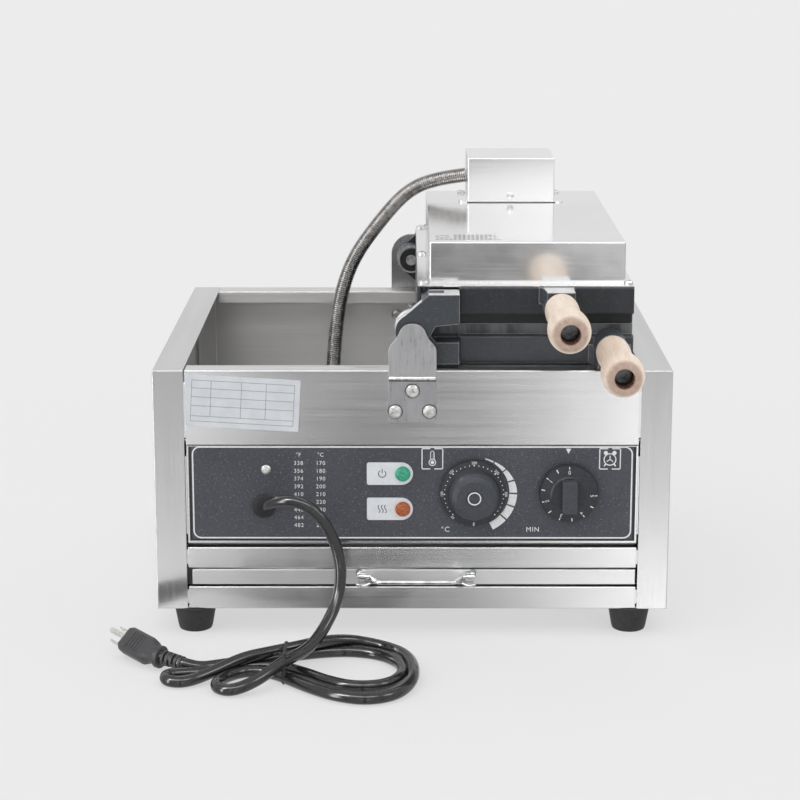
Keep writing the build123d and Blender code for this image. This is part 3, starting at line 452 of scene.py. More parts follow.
k = Mat("label_paper", Specular_IOR_Level=0.35)
c = k.noise(k.co, 70.0, 4.0, 0.6)
k.color(k.ramp(c, [(0.3, (0.62, 0.64, 0.67)), (0.7, (0.72, 0.74, 0.77))]))
k.roughness(k.span(k.noise(k.co, 600.0, 2.0), 0.3, 0.7, 0.4, 0.56))
k.normal(k.bump(k.noise(k.co, 48.0, 3.0, 0.5), 0.12, 0.0005))
PAPER = k.m

k = Mat("rule_ink", Specular_IOR_Level=0.35)
c = k.noise(k.co, 500.0, 3.0, 0.6)
k.color(k.ramp(c, [(0.3, (0.20, 0.205, 0.22)), (0.7, (0.36, 0.37, 0.39))]))
k.roughness(k.span(c, 0.3, 0.7, 0.45, 0.6))
k.normal(k.bump(c, 0.05, 0.0001))
RULE = k.m


def lens_mat(name, recess_shade_mask, light, glow):
    k = Mat(name, Specular_IOR_Level=0.6, Coat_Weight=0.2, Coat_Roughness=0.2, Emission_Color=glow, Emission_Strength=0.10)
    v = k.cells(k.co, 620.0)
    n = k.noise(k.co, 900.0, 2.0, 0.6)
    f = k.maths("ADD", k.maths("MULTIPLY", v.outputs["Distance"], 0.7), k.maths("MULTIPLY", n, 0.4))
    k.color(k.ramp(f, [(0.25, recess_shade_mask), (0.75, light)]))
    k.roughness(k.span(n, 0.3, 0.7, 0.16, 0.3))
    k.normal(k.bump(v.outputs["Distance"], 0.35, 0.0004))
    return k.m


GREEN = lens_mat("green_lens", (0.006, 0.15, 0.08), (0.03, 0.36, 0.21), (0.02, 0.5, 0.28))
ORANGE = lens_mat("orange_lens", (0.16, 0.022, 0.003), (0.42, 0.10, 0.012), (0.6, 0.14, 0.02))

k = Mat("black_knob", Specular_IOR_Level=0.28)
c = k.noise(k.co, 420.0, 4.0, 0.65)
proud = k.span(k.axis(1), -0.1502, -0.1498, 1.0, 0.0)
k.color(k.mix(proud, k.ramp(c, [(0.3, (0.028, 0.030, 0.035)), (0.7, (0.046, 0.049, 0.056))]), k.ramp(c, [(0.3, (0.047, 0.051, 0.060)), (0.7, (0.070, 0.076, 0.087))])))
k.roughness(k.span(c, 0.3, 0.7, 0.30, 0.42))
k.normal(k.bump(c, 0.10, 0.0002))
KNOB = k.m

k = Mat("inner_plastic", Specular_IOR_Level=0.4)
c = k.noise(k.co, 90.0, 3.0, 0.6)
k.color(k.ramp(c, [(0.3, (0.55, 0.52, 0.45)), (0.7, (0.68, 0.65, 0.58))]))
k.roughness(k.span(c, 0.3, 0.7, 0.4, 0.6))
k.normal(k.bump(c, 0.1, 0.0003))
INNER = k.m

BY_SLOT = {
    "brushed_stainless": STEEL, "bracket_steel": BRACKET, "bright_hardware": HARDWARE, "polished_stainless": POLISHED,
    "coated_cast": CAST, "heater_steel": HEATER, "conduit_steel": CONDUIT, "beech_wood": WOOD, "black_rubber": RUBBER,
    "cord_rubber": CORD, "plug_metal": BLADE, "overlay_film": OVERLAY, "white_plastic": WHITE, "label_paper": PAPER,
    "green_lens": GREEN, "orange_lens": ORANGE, "black_knob": KNOB, "inner_plastic": INNER, "chrome_wire": CHROME,
}
BY_NODE = {
    "left_side_panel": POST, "right_side_panel": POST, "back_panel": STEEL_WARM, "control_box_shield": STEEL_WARM,
    "upper_junction_box": BOX_STEEL, "lower_junction_box": BOX_STEEL, "pivot_collars": RUBBER,
    "cord_gland": RUBBER, "control_panel": STEEL, "lower_mold_plate": CAST_LOW, "crumb_tray": TRAY,
    "tray_runners": RUNNER_PAINTED_SHADE, "upper_handle_rod": OXIDE, "lower_handle_rod": OXIDE,
}
slot_of = {}
for s in frame["record"]["subparts"]:
    if "material_slot" in s:
        slot_of[s.get("node", s.get("name"))] = s["material_slot"]
for name, o in nodes.items():
    m = BY_NODE.get(name)
    if m is None:
        old = [x.material.name for x in o.material_slots if x.material]
        key = slot_of.get(name) or (old[0].split(".")[0] if old else "")
        m = BY_SLOT.get(key)
        if m is None:
            raise RuntimeError("no material for %s (%s)" % (name, old))
    if not o.material_slots:
        o.data.materials.append(m)
    for x in o.material_slots:
        x.material = m


# ------------------------------------------------------------------ mesh kit
def make(name, verts, faces, mat, body, smooth=True):
    me = bpy.data.meshes.new(name)
    me.from_pydata([tuple(v) for v in verts], [], faces)
    me.validate()
    me.update()
    if smooth:
        for p in me.polygons:
            p.use_smooth = True
    me.materials.append(mat)
    o = bpy.data.objects.new(name, me)
    scene.collection.objects.link(o)
    if body:
        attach(o, body)
    return o


def sharp_by_angle(o, deg=35.0):
    """Marks edges sharper than deg, so that smooth faces keep their creases."""
    me = o.data
    lim = math.radians(deg)
    owners = {}
    for p in me.polygons:
        for ek in p.edge_keys:
            owners.setdefault(ek, []).append(p.normal.copy())
    for e in me.edges:
        n = owners.get(tuple(sorted(e.vertices)), [])
        if len(n) == 2 and n[0].length > 0 and n[1].length > 0 and n[0].angle(n[1]) > lim:
            e.use_edge_sharp = True


class Soup:
    """Collects closed shapes, then makes one mesh of them."""

    def __init__(self):
        self.v, self.f = [], []

    def add(self, verts, faces):
        n = len(self.v)
        self.v += [Vector(v) for v in verts]
        self.f += [tuple(i + n for i in f) for f in faces]

    def prism(self, pts, origin, ux, uy, uz, h):
        """Closed outline pts (a, b) in the plane ux, uy, raised h along uz, all in metres."""
        n = len(pts)
        area = sum(pts[i][0] * pts[(i + 1) % n][1] - pts[(i + 1) % n][0] * pts[i][1] for i in range(n))
        if area < 0:
            pts = list(reversed(pts))
        vs = [origin + ux * a + uy * b for a, b in pts] + [origin + ux * a + uy * b + uz * h for a, b in pts]
        fs = [tuple(reversed(range(n))), tuple(range(n, 2 * n))]
        fs += [(i, (i + 1) % n, n + (i + 1) % n, n + i) for i in range(n)]
        self.add(vs, fs)

    def strip(self, pts, width, origin, ux, uy, uz, h, close=False):
        """A line of the given width along pts."""
        n = len(pts)
        left, right = [], []
        for i in range(n):
            if close:
                a, b = pts[(i - 1) % n], pts[(i + 1) % n]
            else:
                a, b = pts[max(i - 1, 0)], pts[min(i + 1, n - 1)]
            d = Vector((b[0] - a[0], b[1] - a[1]))
            d.normalize()
            nx, ny = -d.y, d.x
            left.append((pts[i][0] + nx * width / 2, pts[i][1] + ny * width / 2))
            right.append((pts[i][0] - nx * width / 2, pts[i][1] - ny * width / 2))
        vs = []
        for lift in (0.0, h):
            vs += [origin + ux * a + uy * b + uz * lift for a, b in left]
            vs += [origin + ux * a + uy * b + uz * lift for a, b in right]
        fs = []
        m = n if close else n - 1
        for i in range(m):
            j = (i + 1) % n
            fs.append((2 * n + i, 3 * n + i, 3 * n + j, 2 * n + j))
            fs.append((i, j, n + j, n + i))
            fs.append((i, 2 * n + i, 2 * n + j, j))
            fs.append((n + i, n + j, 3 * n + j, 3 * n + i))
        if not close:
            fs.append((0, n, 3 * n, 2 * n))
            fs.append((n - 1, 3 * n - 1, 4 * n - 1, 2 * n - 1))
        self.add(vs, fs)

    def text(self, body, size, at, origin, ux, uy, uz, h, angle=0.0, spacing=1.0, squeeze=1.0):
        me = text_mesh(body, size, h, spacing)
        ca, sa = math.cos(angle), math.sin(angle)
        vs = []
        for v in me.vertices:
            x, y = v.co.x * squeeze, v.co.y
            a, b = at[0] + x * ca - y * sa, at[1] + x * sa + y * ca
            vs.append(origin + ux * a + uy * b + uz * (v.co.z + h / 2))
        self.add(vs, [tuple(p.vertices) for p in me.polygons])
        bpy.data.meshes.remove(me)


def text_mesh(body, size, h, spacing):
    cu = bpy.data.curves.new("glyph", "FONT")
    cu.body = body
    cu.size = size
    cu.extrude = h / 2
    cu.align_x = "CENTER"
    cu.align_y = "CENTER"
    cu.space_character = spacing
    cu.resolution_u = 4
    ob = bpy.data.objects.new("glyph", cu)
    scene.collection.objects.link(ob)
    bpy.context.view_layer.update()
    me = bpy.data.meshes.new_from_object(ob)
    bpy.data.objects.remove(ob)
    bpy.data.curves.remove(cu)
    return me


def circle(cx, cy, r, n=24, a0=0.0, a1=2 * math.pi, end=False):
    m = n if not end else n + 1
    return [(cx + r * math.cos(a0 + (a1 - a0) * i / n), cy + r * math.sin(a0 + (a1 - a0) * i / n)) for i in range(m)]


def nurbs_line(points, name="route"):
    """The centre line of a NURBS spline through these control points, as mesh vertices in order."""
    cu = bpy.data.curves.new(name, "CURVE")
    cu.dimensions = "3D"
    sp = cu.splines.new("NURBS")
    sp.points.add(len(points) - 1)
    for q, p in zip(sp.points, points):
        q.co = (p[0], p[1], p[2], 1.0)
    sp.order_u = 3
    sp.use_endpoint_u = True
    cu.resolution_u = 24
    ob = bpy.data.objects.new(name, cu)
    scene.collection.objects.link(ob)
    bpy.context.view_layer.update()
    me = bpy.data.meshes.new_from_object(ob)
    line = [v.co.copy() for v in me.vertices]
    bpy.data.objects.remove(ob)
    bpy.data.meshes.remove(me)
    bpy.data.curves.remove(cu)
    return line


def walk(line):
    """Length so far at each vertex."""
    out = [0.0]
    for a, b in zip(line, line[1:]):
        out.append(out[-1] + (b - a).length)
    return out


def sample(line, dist, s):
    """Point and direction at length s."""
    s = min(max(s, 0.0), dist[-1])
    lo, hi = 0, len(dist) - 1
    while hi - lo > 1:
        m = (lo + hi) // 2
        if dist[m] <= s:
            lo = m
        else:
            hi = m
    t = (s - dist[lo]) / max(dist[hi] - dist[lo], 1e-9)
    return line[lo].lerp(line[hi], t), (line[hi] - line[lo]).normalized()


def sweep(rings, seg, shape):
    """Closed tube. rings are (centre, direction, key); shape(key, angle) is the radius or (a, b) offset."""
    verts, faces = [], []
    side = None
    for c, d, key in rings:
        if side is None:
            up = Vector((0, 0, 1)) if abs(d.z) < 0.9 else Vector((1, 0, 0))
            side = up.cross(d).normalized()
        side = (side - d * side.dot(d)).normalized()
        up = d.cross(side)
        for i in range(seg):
            a = 2 * math.pi * i / seg
            r = shape(key, a)
            if isinstance(r, tuple):
                verts.append(c + side * r[0] + up * r[1])
            else:
                verts.append(c + side * (r * math.cos(a)) + up * (r * math.sin(a)))
    n = len(rings)
    for j in range(n - 1):
        for i in range(seg):
            k2 = (i + 1) % seg
            faces.append((j * seg + i, j * seg + k2, (j + 1) * seg + k2, (j + 1) * seg + i))
    faces.append(tuple(reversed(range(seg))))
    faces.append(tuple(range((n - 1) * seg, n * seg)))
    return verts, faces


X, Y, Z = Vector((1, 0, 0)), Vector((0, 1, 0)), Vector((0, 0, 1))
MM = 0.001

# ------------------------------------------------------------------ power cord
CORD_DROP = [(-121.0, -196.0, 108.6), (-120.0, -212.0, 115.5), (-105.1, -225.0, 123.3), (-87.3, -231.0, 123.4), (-72.2, -232.0, 110.8), (-61.6, -233.0, 92.0), (-56.4, -236.0, 68.7), (-59.5, -246.0, 46.0), (-69.8, -263.0, 28.4), (-82.1, -284.0, 18.3)]
CORD_REST = [(-100, -308, 17.5), (-119, -330.5, 9.5), (-139, -341, 4.8), (-153, -329, 4.8), (-146, -308, 4.8), (-128, -293, 4.8), (-109, -299, 4.8), (-94, -315, 4.8), (-77.5, -333, 4.8), (-58.5, -349, 4.8), (-35, -357.5, 4.8), (-12, -347, 4.8), (-0.5, -323, 5.9), (1.5, -299, 7.4), (-2, -273, 7.4), (-12, -249, 5.6), (-31, -236, 6.5), (-53, -241, 12), (-74, -255, 15), (-94, -269, 15), (-113, -279, 14.5), (-133, -289, 13.5), (-153, -304, 8.2), (-174, -320.5, 4.8), (-190.5, -317.5, 4.8), (-192, -303, 4.8), (-174, -299.5, 4.8), (-150, -296, 4.8), (-128, -282, 4.8), (-105, -284, 4.8), (-83, -300.5, 4.8), (-66, -318, 4.8), (-45, -331, 4.8), (-20.5, -327, 4.8), (-7, -305, 4.8), (-8.5, -279, 4.8), (-23, -257.5, 4.8), (-46.5, -248, 4.8), (-69, -250, 4.8), (-90, -257, 4.8), (-110, -265, 4.8), (-128, -271, 4.8), (-148, -280, 4.8), (-165, -290, 5.6), (-176, -290.3, 8.2), (-183.5, -286.1, 9.0)]
route = [P(*p) for p in CORD_DROP + CORD_REST]
cu = bpy.data.curves.new("mains_cord", "CURVE")
cu.dimensions = "3D"
sp = cu.splines.new("NURBS")
sp.points.add(len(route) - 1)
for q, p in zip(sp.points, route):
    q.co = (p.x, p.y, p.z, 1.0)
sp.order_u = 3
sp.use_endpoint_u = True
cu.resolution_u = 14
cu.bevel_depth = 0.00475
cu.bevel_resolution = 6
cu.use_fill_caps = True
cu.materials.append(CORD)
cord = bpy.data.objects.new("mains_cord", cu)
scene.collection.objects.link(cord)
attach(cord, "cabinet")
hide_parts("power_cord", "power_cord_hank")

# the same route with no bevel, for the pieces that sit on it
line = nurbs_line(route)

# plug: slotted relief and collar along one line, grip along a second, rolled onto its edge
def smooth(t):
    t = min(max(t, 0.0), 1.0)
    return t * t * (3 - 2 * t)


ROLL = math.radians(-42.0)


def plug_frame(p, q):
    d = (q - p).normalized()
    side = Z.cross(d).normalized()
    top = d.cross(side)
    w = side * math.cos(ROLL) + top * math.sin(ROLL)
    return d, w, d.cross(w), (q - p).length / MM


P0, PC, P1 = P(-179.5, -288.5, 8.8), P(-199.6, -276.5, 10.0), P(-228.5, -243.0, 12.4)
rd, rw, rh, RL = plug_frame(P0, PC)
pd, pw, ph, PL = plug_frame(PC, P1)
HEXA = [(-10.9, -3.8), (-5.9, -7.7), (5.9, -7.7), (10.9, -3.8), (10.9, 3.4), (8.4, 6.7), (-8.4, 6.7), (-10.9, 3.4)]


def hex_radius(a):
    ca, sa = math.cos(a), math.sin(a)
    best = None
    for i in range(8):
        (ax_, ay_), (bx_, by_) = HEXA[i], HEXA[(i + 1) % 8]
        ex, ey = bx_ - ax_, by_ - ay_
        det = ca * ey - sa * ex
        if abs(det) < 1e-9:
            continue
        r = (ax_ * ey - ay_ * ex) / det
        u = (ax_ * sa - ay_ * ca) / det
        if r > 0 and -1e-6 <= u <= 1.0 + 1e-6:
            best = r if best is None else min(best, r)
    return best


def loft(rings, seg, origin, d, w, h):
    """Closed skin through rings (length, function of angle giving the radius in mm)."""
    vs, fs = [], []
    for s, fn in rings:
        for i in range(seg):
            a = 2 * math.pi * i / seg
            r = fn(a) * MM
            vs.append(origin + d * (s * MM) + w * (r * math.cos(a)) + h * (r * math.sin(a)))
    n = len(rings)
    for j in range(n - 1):
        for i in range(seg):
            i2 = (i + 1) % seg
            fs.append((j * seg + i, j * seg + i2, (j + 1) * seg + i2, (j + 1) * seg + i))
    fs.append(tuple(reversed(range(seg))))
    fs.append(tuple(range((n - 1) * seg, n * seg)))
    return vs, fs


def slotted(r, i):
    def fn(a):
        off = abs(math.cos(a)) if i % 2 else abs(math.sin(a))
        return r - 0.2 if off > 0.86 else r - 2.1
    return fn


def plain_round(r):
    return lambda a: r


def grip(s):
    u = smooth((s - 3.0) / 12.0)
    end = 1.0 - 0.10 * smooth((s - (PL - 2.2)) / 2.2)

    def fn(a):
        return (7.3 * (1 - u) + hex_radius(a) * u) * end
    return fn


relief = []
n_rib = 5
pitch = (RL - 3.0) / n_rib
for i in range(n_rib):
    r0 = 5.3 + 0.85 * i / (n_rib - 1)
    s0 = i * pitch
    relief += [(s0, plain_round(r0 - 0.5 * (i == 0))), (s0 + 0.3, plain_round(r0)), (s0 + pitch * 0.54, plain_round(r0)), (s0 + pitch * 0.58, slotted(r0, i)), (s0 + pitch * 0.96, slotted(r0, i))]
relief += [(RL - 3.0, plain_round(6.1)), (RL - 2.8, plain_round(8.4)), (RL - 2.3, plain_round(9.0)), (RL + 0.8, plain_round(9.0)), (RL + 1.4, plain_round(8.2)), (RL + 1.6, plain_round(6.6))]
ps = Soup()
ps.add(*loft(relief, 48, P0, rd, rw, rh))
ps.add(*loft([(s, grip(s)) for s in (0.0, 1.5, 3.0, 5.0, 7.0, 9.0, 11.0, 13.0, 15.0, 20.0, 26.0, 32.0, 38.0, PL - 2.2, PL - 1.4, PL - 0.7, PL - 0.1)], 72, PC, pd, pw, ph))
plug = make("plug_shell", ps.v, ps.f, PLUG, "cabinet")
sharp_by_angle(plug, 24)
# moulded grip ribs across both wide flats
gr = Soup()
for sgn, off, half in ((-1, 7.65, 5.4), (1, 6.65, 7.4)):
    for i in range(5):
        o0 = PC + pd * ((20.0 + i * 3.6) * MM) + ph * (sgn * off * MM)
        long, wide = (half * MM, 0.7 * MM)
        if sgn > 0:
            gr.prism([(-wide, -long), (wide, -long), (wide, long), (-wide, long)], o0, pd, pw, ph, 0.35 * MM)
        else:
            gr.prism([(-long, -wide), (long, -wide), (long, wide), (-long, wide)], o0, pw, pd, -ph, 0.35 * MM)
grips = make("plug_grip_ribs", gr.v, gr.f, PLUG, "cabinet", smooth=False)
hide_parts("plug_body")


def blade_mesh(w, length, thick, hole):
    """A flat blade with a chamfered tip and a hole, from a 2-D curve."""
    cu = bpy.data.curves.new("blade", "CURVE")
    cu.dimensions = "2D"
    cu.fill_mode = "BOTH"
    out = [(-w / 2, 0), (w / 2, 0), (w / 2, length - 1.6 * MM), (w / 2 - 1.2 * MM, length), (-w / 2 + 1.2 * MM, length), (-w / 2, length - 1.6 * MM)]
    for pts in (out, list(reversed(circle(0, length - 4.6 * MM, hole, 16)))):
        sp = cu.splines.new("POLY")
        sp.points.add(len(pts) - 1)
        for q, p in zip(sp.points, pts):
            q.co = (p[0], p[1], 0, 1)
        sp.use_cyclic_u = True
    cu.extrude = thick / 2
    cu.bevel_depth = 0.15 * MM
    ob = bpy.data.objects.new("blade", cu)
    scene.collection.objects.link(ob)
    bpy.context.view_layer.update()
    me = bpy.data.meshes.new_from_object(ob)
    bpy.data.objects.remove(ob)
    return me


bl = Soup()
bm_ = blade_mesh(6.2 * MM, 18.8 * MM, 1.2 * MM, 1.6 * MM)
for sx in (-6.35, 6.35):
    o0 = P1 + pw * (sx * MM) - ph * (3.2 * MM)
    bl.add([o0 + ph * v.co.x + pd * v.co.y + pw * v.co.z for v in bm_.vertices], [tuple(p.vertices) for p in bm_.polygons])
rr = []
for s, r in ((-1.0, 2.3), (17.0, 2.3), (18.6, 1.9), (19.3, 1.1), (19.6, 0.4)):
    rr.append((P1 + pd * (s * MM) + ph * (4.4 * MM), pd, r))
v2, f2 = sweep(rr, 20, lambda key, a: key * MM)
bl.add(v2, f2)
blades = make("plug_prongs", bl.v, bl.f, BLADE, "cabinet", smooth=False)
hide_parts("plug_blades")

# wire tie round the bundle, with its two twisted ends standing up
TX = -0.0995
cross = []
for a, b in zip(line, line[1:]):
    if (a.x - TX) * (b.x - TX) <= 0 and a.x != b.x:
        tt = (TX - a.x) / (b.x - a.x)
        q = a.lerp(b, tt)
        if q.z < 0.03:
            cross.append((q.y, q.z))
pts = []
for y, z in cross:
    for i in range(24):
        a = 2 * math.pi * i / 24
        pts.append((y + 0.00555 * math.cos(a), max(z + 0.00555 * math.sin(a), 0.0007)))
pts.sort()


def half_hull(ps):
    h = []
    for p in ps:
        while len(h) >= 2 and (h[-1][0] - h[-2][0]) * (p[1] - h[-2][1]) - (h[-1][1] - h[-2][1]) * (p[0] - h[-2][0]) <= 0:
            h.pop()
        h.append(p)
    return h


hull = half_hull(pts)[:-1] + half_hull(list(reversed(pts)))[:-1]
loop = [Vector((TX, y, z)) for y, z in hull]
dist = [0.0]
for a, b in zip(loop, loop[1:] + loop[:1]):
    dist.append(dist[-1] + (b - a).length)
tie = Soup()
N = 90
ring_pts = []
for i in range(N):
    s = dist[-1] * i / N
    j = max(q for q in range(len(loop)) if dist[q] <= s)
    tt = (s - dist[j]) / max(dist[j + 1] - dist[j], 1e-9)
    ring_pts.append(loop[j].lerp(loop[(j + 1) % len(loop)], tt))
seg = 10
for i in range(N):
    d = (ring_pts[(i + 1) % N] - ring_pts[i - 1]).normalized()
    nrm = X.cross(d)
    for q in range(seg):
        a = 2 * math.pi * q / seg
        tie.v.append(ring_pts[i] + X * (1.5 * MM * math.cos(a)) + nrm * (0.6 * MM * math.sin(a)))
for i in range(N):
    for q in range(seg):
        j, r2 = (i + 1) % N, (q + 1) % seg
        tie.f.append((i * seg + q, j * seg + q, j * seg + r2, i * seg + r2))
top = max(loop, key=lambda p: p.z)
for sgn in (-1, 1):
    ends = [top + Vector((0, 0, -0.0005)), top + Vector((sgn * 0.0015, -0.001, 0.0008)), top + Vector((sgn * 0.0045, -0.0025 * sgn, 0.0014)), top + Vector((sgn * 0.0075, 0.002 * sgn, 0.0011))]
    el = nurbs_line(ends)
    dl = walk(el)
    rr = []
    for i in range(13):
        p, d = sample(el, dl, dl[-1] * i / 12)
        rr.append((p, d, 0.85 if i < 12 else 0.5))
    v2, f2 = sweep(rr, 8, lambda key, a: key * MM)
    tie.add(v2, f2)
tie_ob = make("wire_tie", tie.v, tie.f, RUBBER, "cabinet")
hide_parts("cord_tie")

# ------------------------------------------------------------------ conduits
CT = 320.5
UP_ROUTE = [(50.0, 115.0, CT + 20.6), (22.0, 113.5, CT + 17.5), (-5.0, 111.0, CT + 6.0), (-31.0, 108.0, 297.0), (-54.0, 106.0, 265.0), (-66.0, 103.5, 231.0), (-71.5, 101.0, 190.0), (-73.5, 96.0, 150.0), (-75.0, 75.0, 112.0), (-76.5, 34.0, 92.0), (-78.0, -20.0, 87.0), (-79.6, -70.0, 91.5), (-79.0, -106.0, 98.0), (-79.0, -129.0, 98.0)]
LZ = 2 * 254.0 - CT - 20.6
LO_ROUTE = [(50.0, 115.0, LZ), (27.0, 113.0, LZ - 5.0), (8.0, 98.0, LZ - 28.0), (2.0, 62.0, 108.0), (6.0, 10.0, 92.0), (12.0, -42.0, 88.0), (15.6, -78.0, 93.0), (16.0, -108.0, 100.0), (16.0, -129.0, 100.0)]
RIB = 1.9 * MM
SEG = 28


def conduit_mesh(name, pts, s0, s1):
    """Wound strip conduit between two lengths of the route: one rounded rib every RIB."""
    ln = nurbs_line([P(*p) for p in pts])
    ds = walk(ln)
    s0 = ds[-1] * s0
    s1 = ds[-1] * s1
    rings = []
    n = int(round((s1 - s0) / RIB))
    step = (s1 - s0) / n
    for i in range(n):
        for fr, r in ((0.0, 5.75), (0.16, 6.50), (0.42, 6.72), (0.72, 6.55), (0.90, 5.75)):
            s = s0 + (i + fr) * step
            p, d = sample(ln, ds, s)
            rings.append((p, d, r))
    p, d = sample(ln, ds, s1)
    rings.append((p, d, 5.75))
    # directions smoothed over neighbours
    out = []
    for i, (p, d, r) in enumerate(rings):
        a, b = rings[max(i - 4, 0)][0], rings[min(i + 4, len(rings) - 1)][0]
        out.append((p, (b - a).normalized(), r))
    v, f = sweep(out, SEG, lambda key, a: key * MM)
    return make(name, v, f, CONDUIT, None), ln, ds


def at_length(ln, ds, part):
    return sample(ln, ds, ds[-1] * part)[0]


# from the control bay to the lower mold's turning, then on to the upper mold
up_a, ln, ds = conduit_mesh("upper_conduit_lower_run", UP_ROUTE, 0.40, 1.0)
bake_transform(up_a)
up_b, ln, ds = conduit_mesh("upper_conduit_upper_run", UP_ROUTE, 0.0, 0.40)
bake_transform(up_b)
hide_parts("upper_conduit")
lo_a, ln, ds = conduit_mesh("lower_conduit_run", LO_ROUTE, 0.0, 1.0)
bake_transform(lo_a)
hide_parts("lower_conduit")

# ------------------------------------------------------------------ printed panel
OV = -188.9
face0 = P(0, OV, 0)
UX, UY, UZ = X, Z, -Y     # across, up, out of the panel
INK_H = 0.12 * MM


def mm(pts):
    return [(a * MM, b * MM) for a, b in pts]


def rounded(x0, x1, z0, z1, r, n=8):
    pts = []
    for cx, cz, a in ((x1 - r, z0 + r, -90), (x1 - r, z1 - r, 0), (x0 + r, z1 - r, 90), (x0 + r, z0 + r, 180)):
        for i in range(n + 1):
            t = math.radians(a + 90 * i / n)
            pts.append((cx + r * math.cos(t), cz + r * math.sin(t)))
    return pts


ink = Soup()
ink.strip(mm(rounded(-178.6, 178.6, 81.6, 158.2, 6.0)), 1.15 * MM, face0, UX, UY, UZ, INK_H, close=True)
for col, xs, head in (((338, 356, 374, 392, 410, 428, 446, 464, 482), -92.6, "°F"), ((170, 180, 190, 200, 210, 220, 230, 240, 250), -74.6, "°C")):
    ink.text(head, 4.6 * MM, (xs * MM, 151.6 * MM), face0, UX, UY, UZ, INK_H, spacing=1.1)
    for i, n in enumerate(col):
        ink.text(str(n), 4.7 * MM, (xs * MM, (144.6 - 6.55 * i) * MM), face0, UX, UY, UZ, INK_H, spacing=1.15)
# thermometer in a box
bx0, bx1, bz0, bz1 = 7.9, 24.7, 139.9, 156.9
mid = (bx0 + bx1) / 2


def corner_box(x0, x1, z0, z1):
    cx = (x0 + x1) / 2
    for s in (-1, 1):
        xe = x0 if s < 0 else x1
        ink.strip(mm([(cx + s * 1.6, z1), (xe - s * 0.5, z1), (xe, z1 - 0.5), (xe, z0 + 0.5), (xe - s * 0.5, z0), (cx + s * 1.6, z0)]), 0.85 * MM, face0, UX, UY, UZ, INK_H)


corner_box(bx0, bx1, bz0, bz1)
ink.strip(mm(circle(mid, 145.4, 2.7, 20)), 0.7 * MM, face0, UX, UY, UZ, INK_H, close=True)
ink.prism(mm(circle(mid, 145.4, 1.5, 16)), face0, UX, UY, UZ, INK_H)
ink.strip(mm([(mid - 1.5, 147.8), (mid - 1.5, 153.2), (mid - 0.9, 154.5), (mid, 155.0), (mid + 0.9, 154.5), (mid + 1.5, 153.2), (mid + 1.5, 147.8)]), 0.6 * MM, face0, UX, UY, UZ, INK_H)
for q in range(3):
    ink.strip(mm([(mid + 0.2, 149.0 + q * 1.7), (mid + 1.4, 149.0 + q * 1.7)]), 0.5 * MM, face0, UX, UY, UZ, INK_H)
# alarm clock in a box
cx0, cx1 = 152.2, 169.0
cm = (cx0 + cx1) / 2
corner_box(cx0, cx1, bz0, bz1)
ink.strip(mm(circle(cm, 147.9, 4.8, 28)), 0.85 * MM, face0, UX, UY, UZ, INK_H, close=True)
for s in (-1, 1):
    bell = [(cm + s * (3.4 + 2.1 * math.cos(math.radians(a))), 153.2 + 2.1 * math.sin(math.radians(a))) for a in range(-30 if s > 0 else -20, 200, 20)]
    ink.prism(mm(circle(cm + s * 3.5, 153.4, 1.75, 14)), face0, UX, UY, UZ, INK_H)
    ink.strip(mm([(cm + s * 3.4, 144.0), (cm + s * 4.7, 142.3)]), 1.1 * MM, face0, UX, UY, UZ, INK_H)
for dx, dz in ((0, 3.2), (2.6, -1.7), (-2.6, -1.7)):
    ink.strip(mm([(cm, 147.9), (cm + dx, 147.9 + dz)]), 0.8 * MM, face0, UX, UY, UZ, INK_H)
# pointer over the timer, segmented band beside the thermostat
ink.prism(mm([(124.7, 156.9), (128.9, 156.9), (126.8, 152.6)]), face0, UX, UY, UZ, INK_H)
TH = (50.1, 120.4)
TI = (127.4, 120.4)
cuts = [73, 57, 36, 17, -2, -21, -41, -63.5]
for i in range(7):
    a0, a1 = cuts[i] - 1.1, cuts[i + 1] + 1.1
    if i == 6:
        a1 = cuts[7]
    inner, outer = [], []
    for q in range(9):
        a = a0 + (a1 - a0) * q / 8
        wide = 0.9 + 5.6 * smooth((76 - a) / 85.0)
        r1 = 29.0
        inner.append((TH[0] + r1 * math.cos(math.radians(a)), TH[1] + r1 * math.sin(math.radians(a))))
        outer.append((TH[0] + (r1 + wide) * math.cos(math.radians(a)), TH[1] + (r1 + wide) * math.sin(math.radians(a))))
    for q in range(8):
        ink.prism(mm([inner[q], outer[q], outer[q + 1], inner[q + 1]]), face0, UX, UY, UZ, INK_H)
# unit marks under the dials
ink.text("°C", 6.0 * MM, (TH[0] - 23.0) * MM and ((TH[0] - 23.0) * MM, 88.6 * MM), face0, UX, UY, UZ, INK_H, spacing=1.15)
ink.text("MIN", 5.6 * MM, (98.5 * MM, 88.6 * MM), face0, UX, UY, UZ, INK_H, spacing=1.15)
make("panel_print", ink.v, ink.f, INK, "cabinet", smooth=False)

# the film's dark rim, outside the white line
rim = Soup()
x0, x1, z0, z1 = -181.7, 181.7, 79.2, 158.3
ix0, ix1, iz0 = -179.9, 179.9, 80.4
for pts in ([(x0, z0), (ix0, z0), (ix0, z1), (x0, z1)], [(ix1, z0), (x1, z0), (x1, z1), (ix1, z1)], [(ix0, z0), (ix1, z0), (ix1, iz0), (ix0, iz0)]):
    rim.prism(mm(pts), face0, UX, UY, UZ, 0.05 * MM)
make("panel_rim", rim.v, rim.f, FILM_RIM_AND_SHADE, "cabinet", smooth=False)

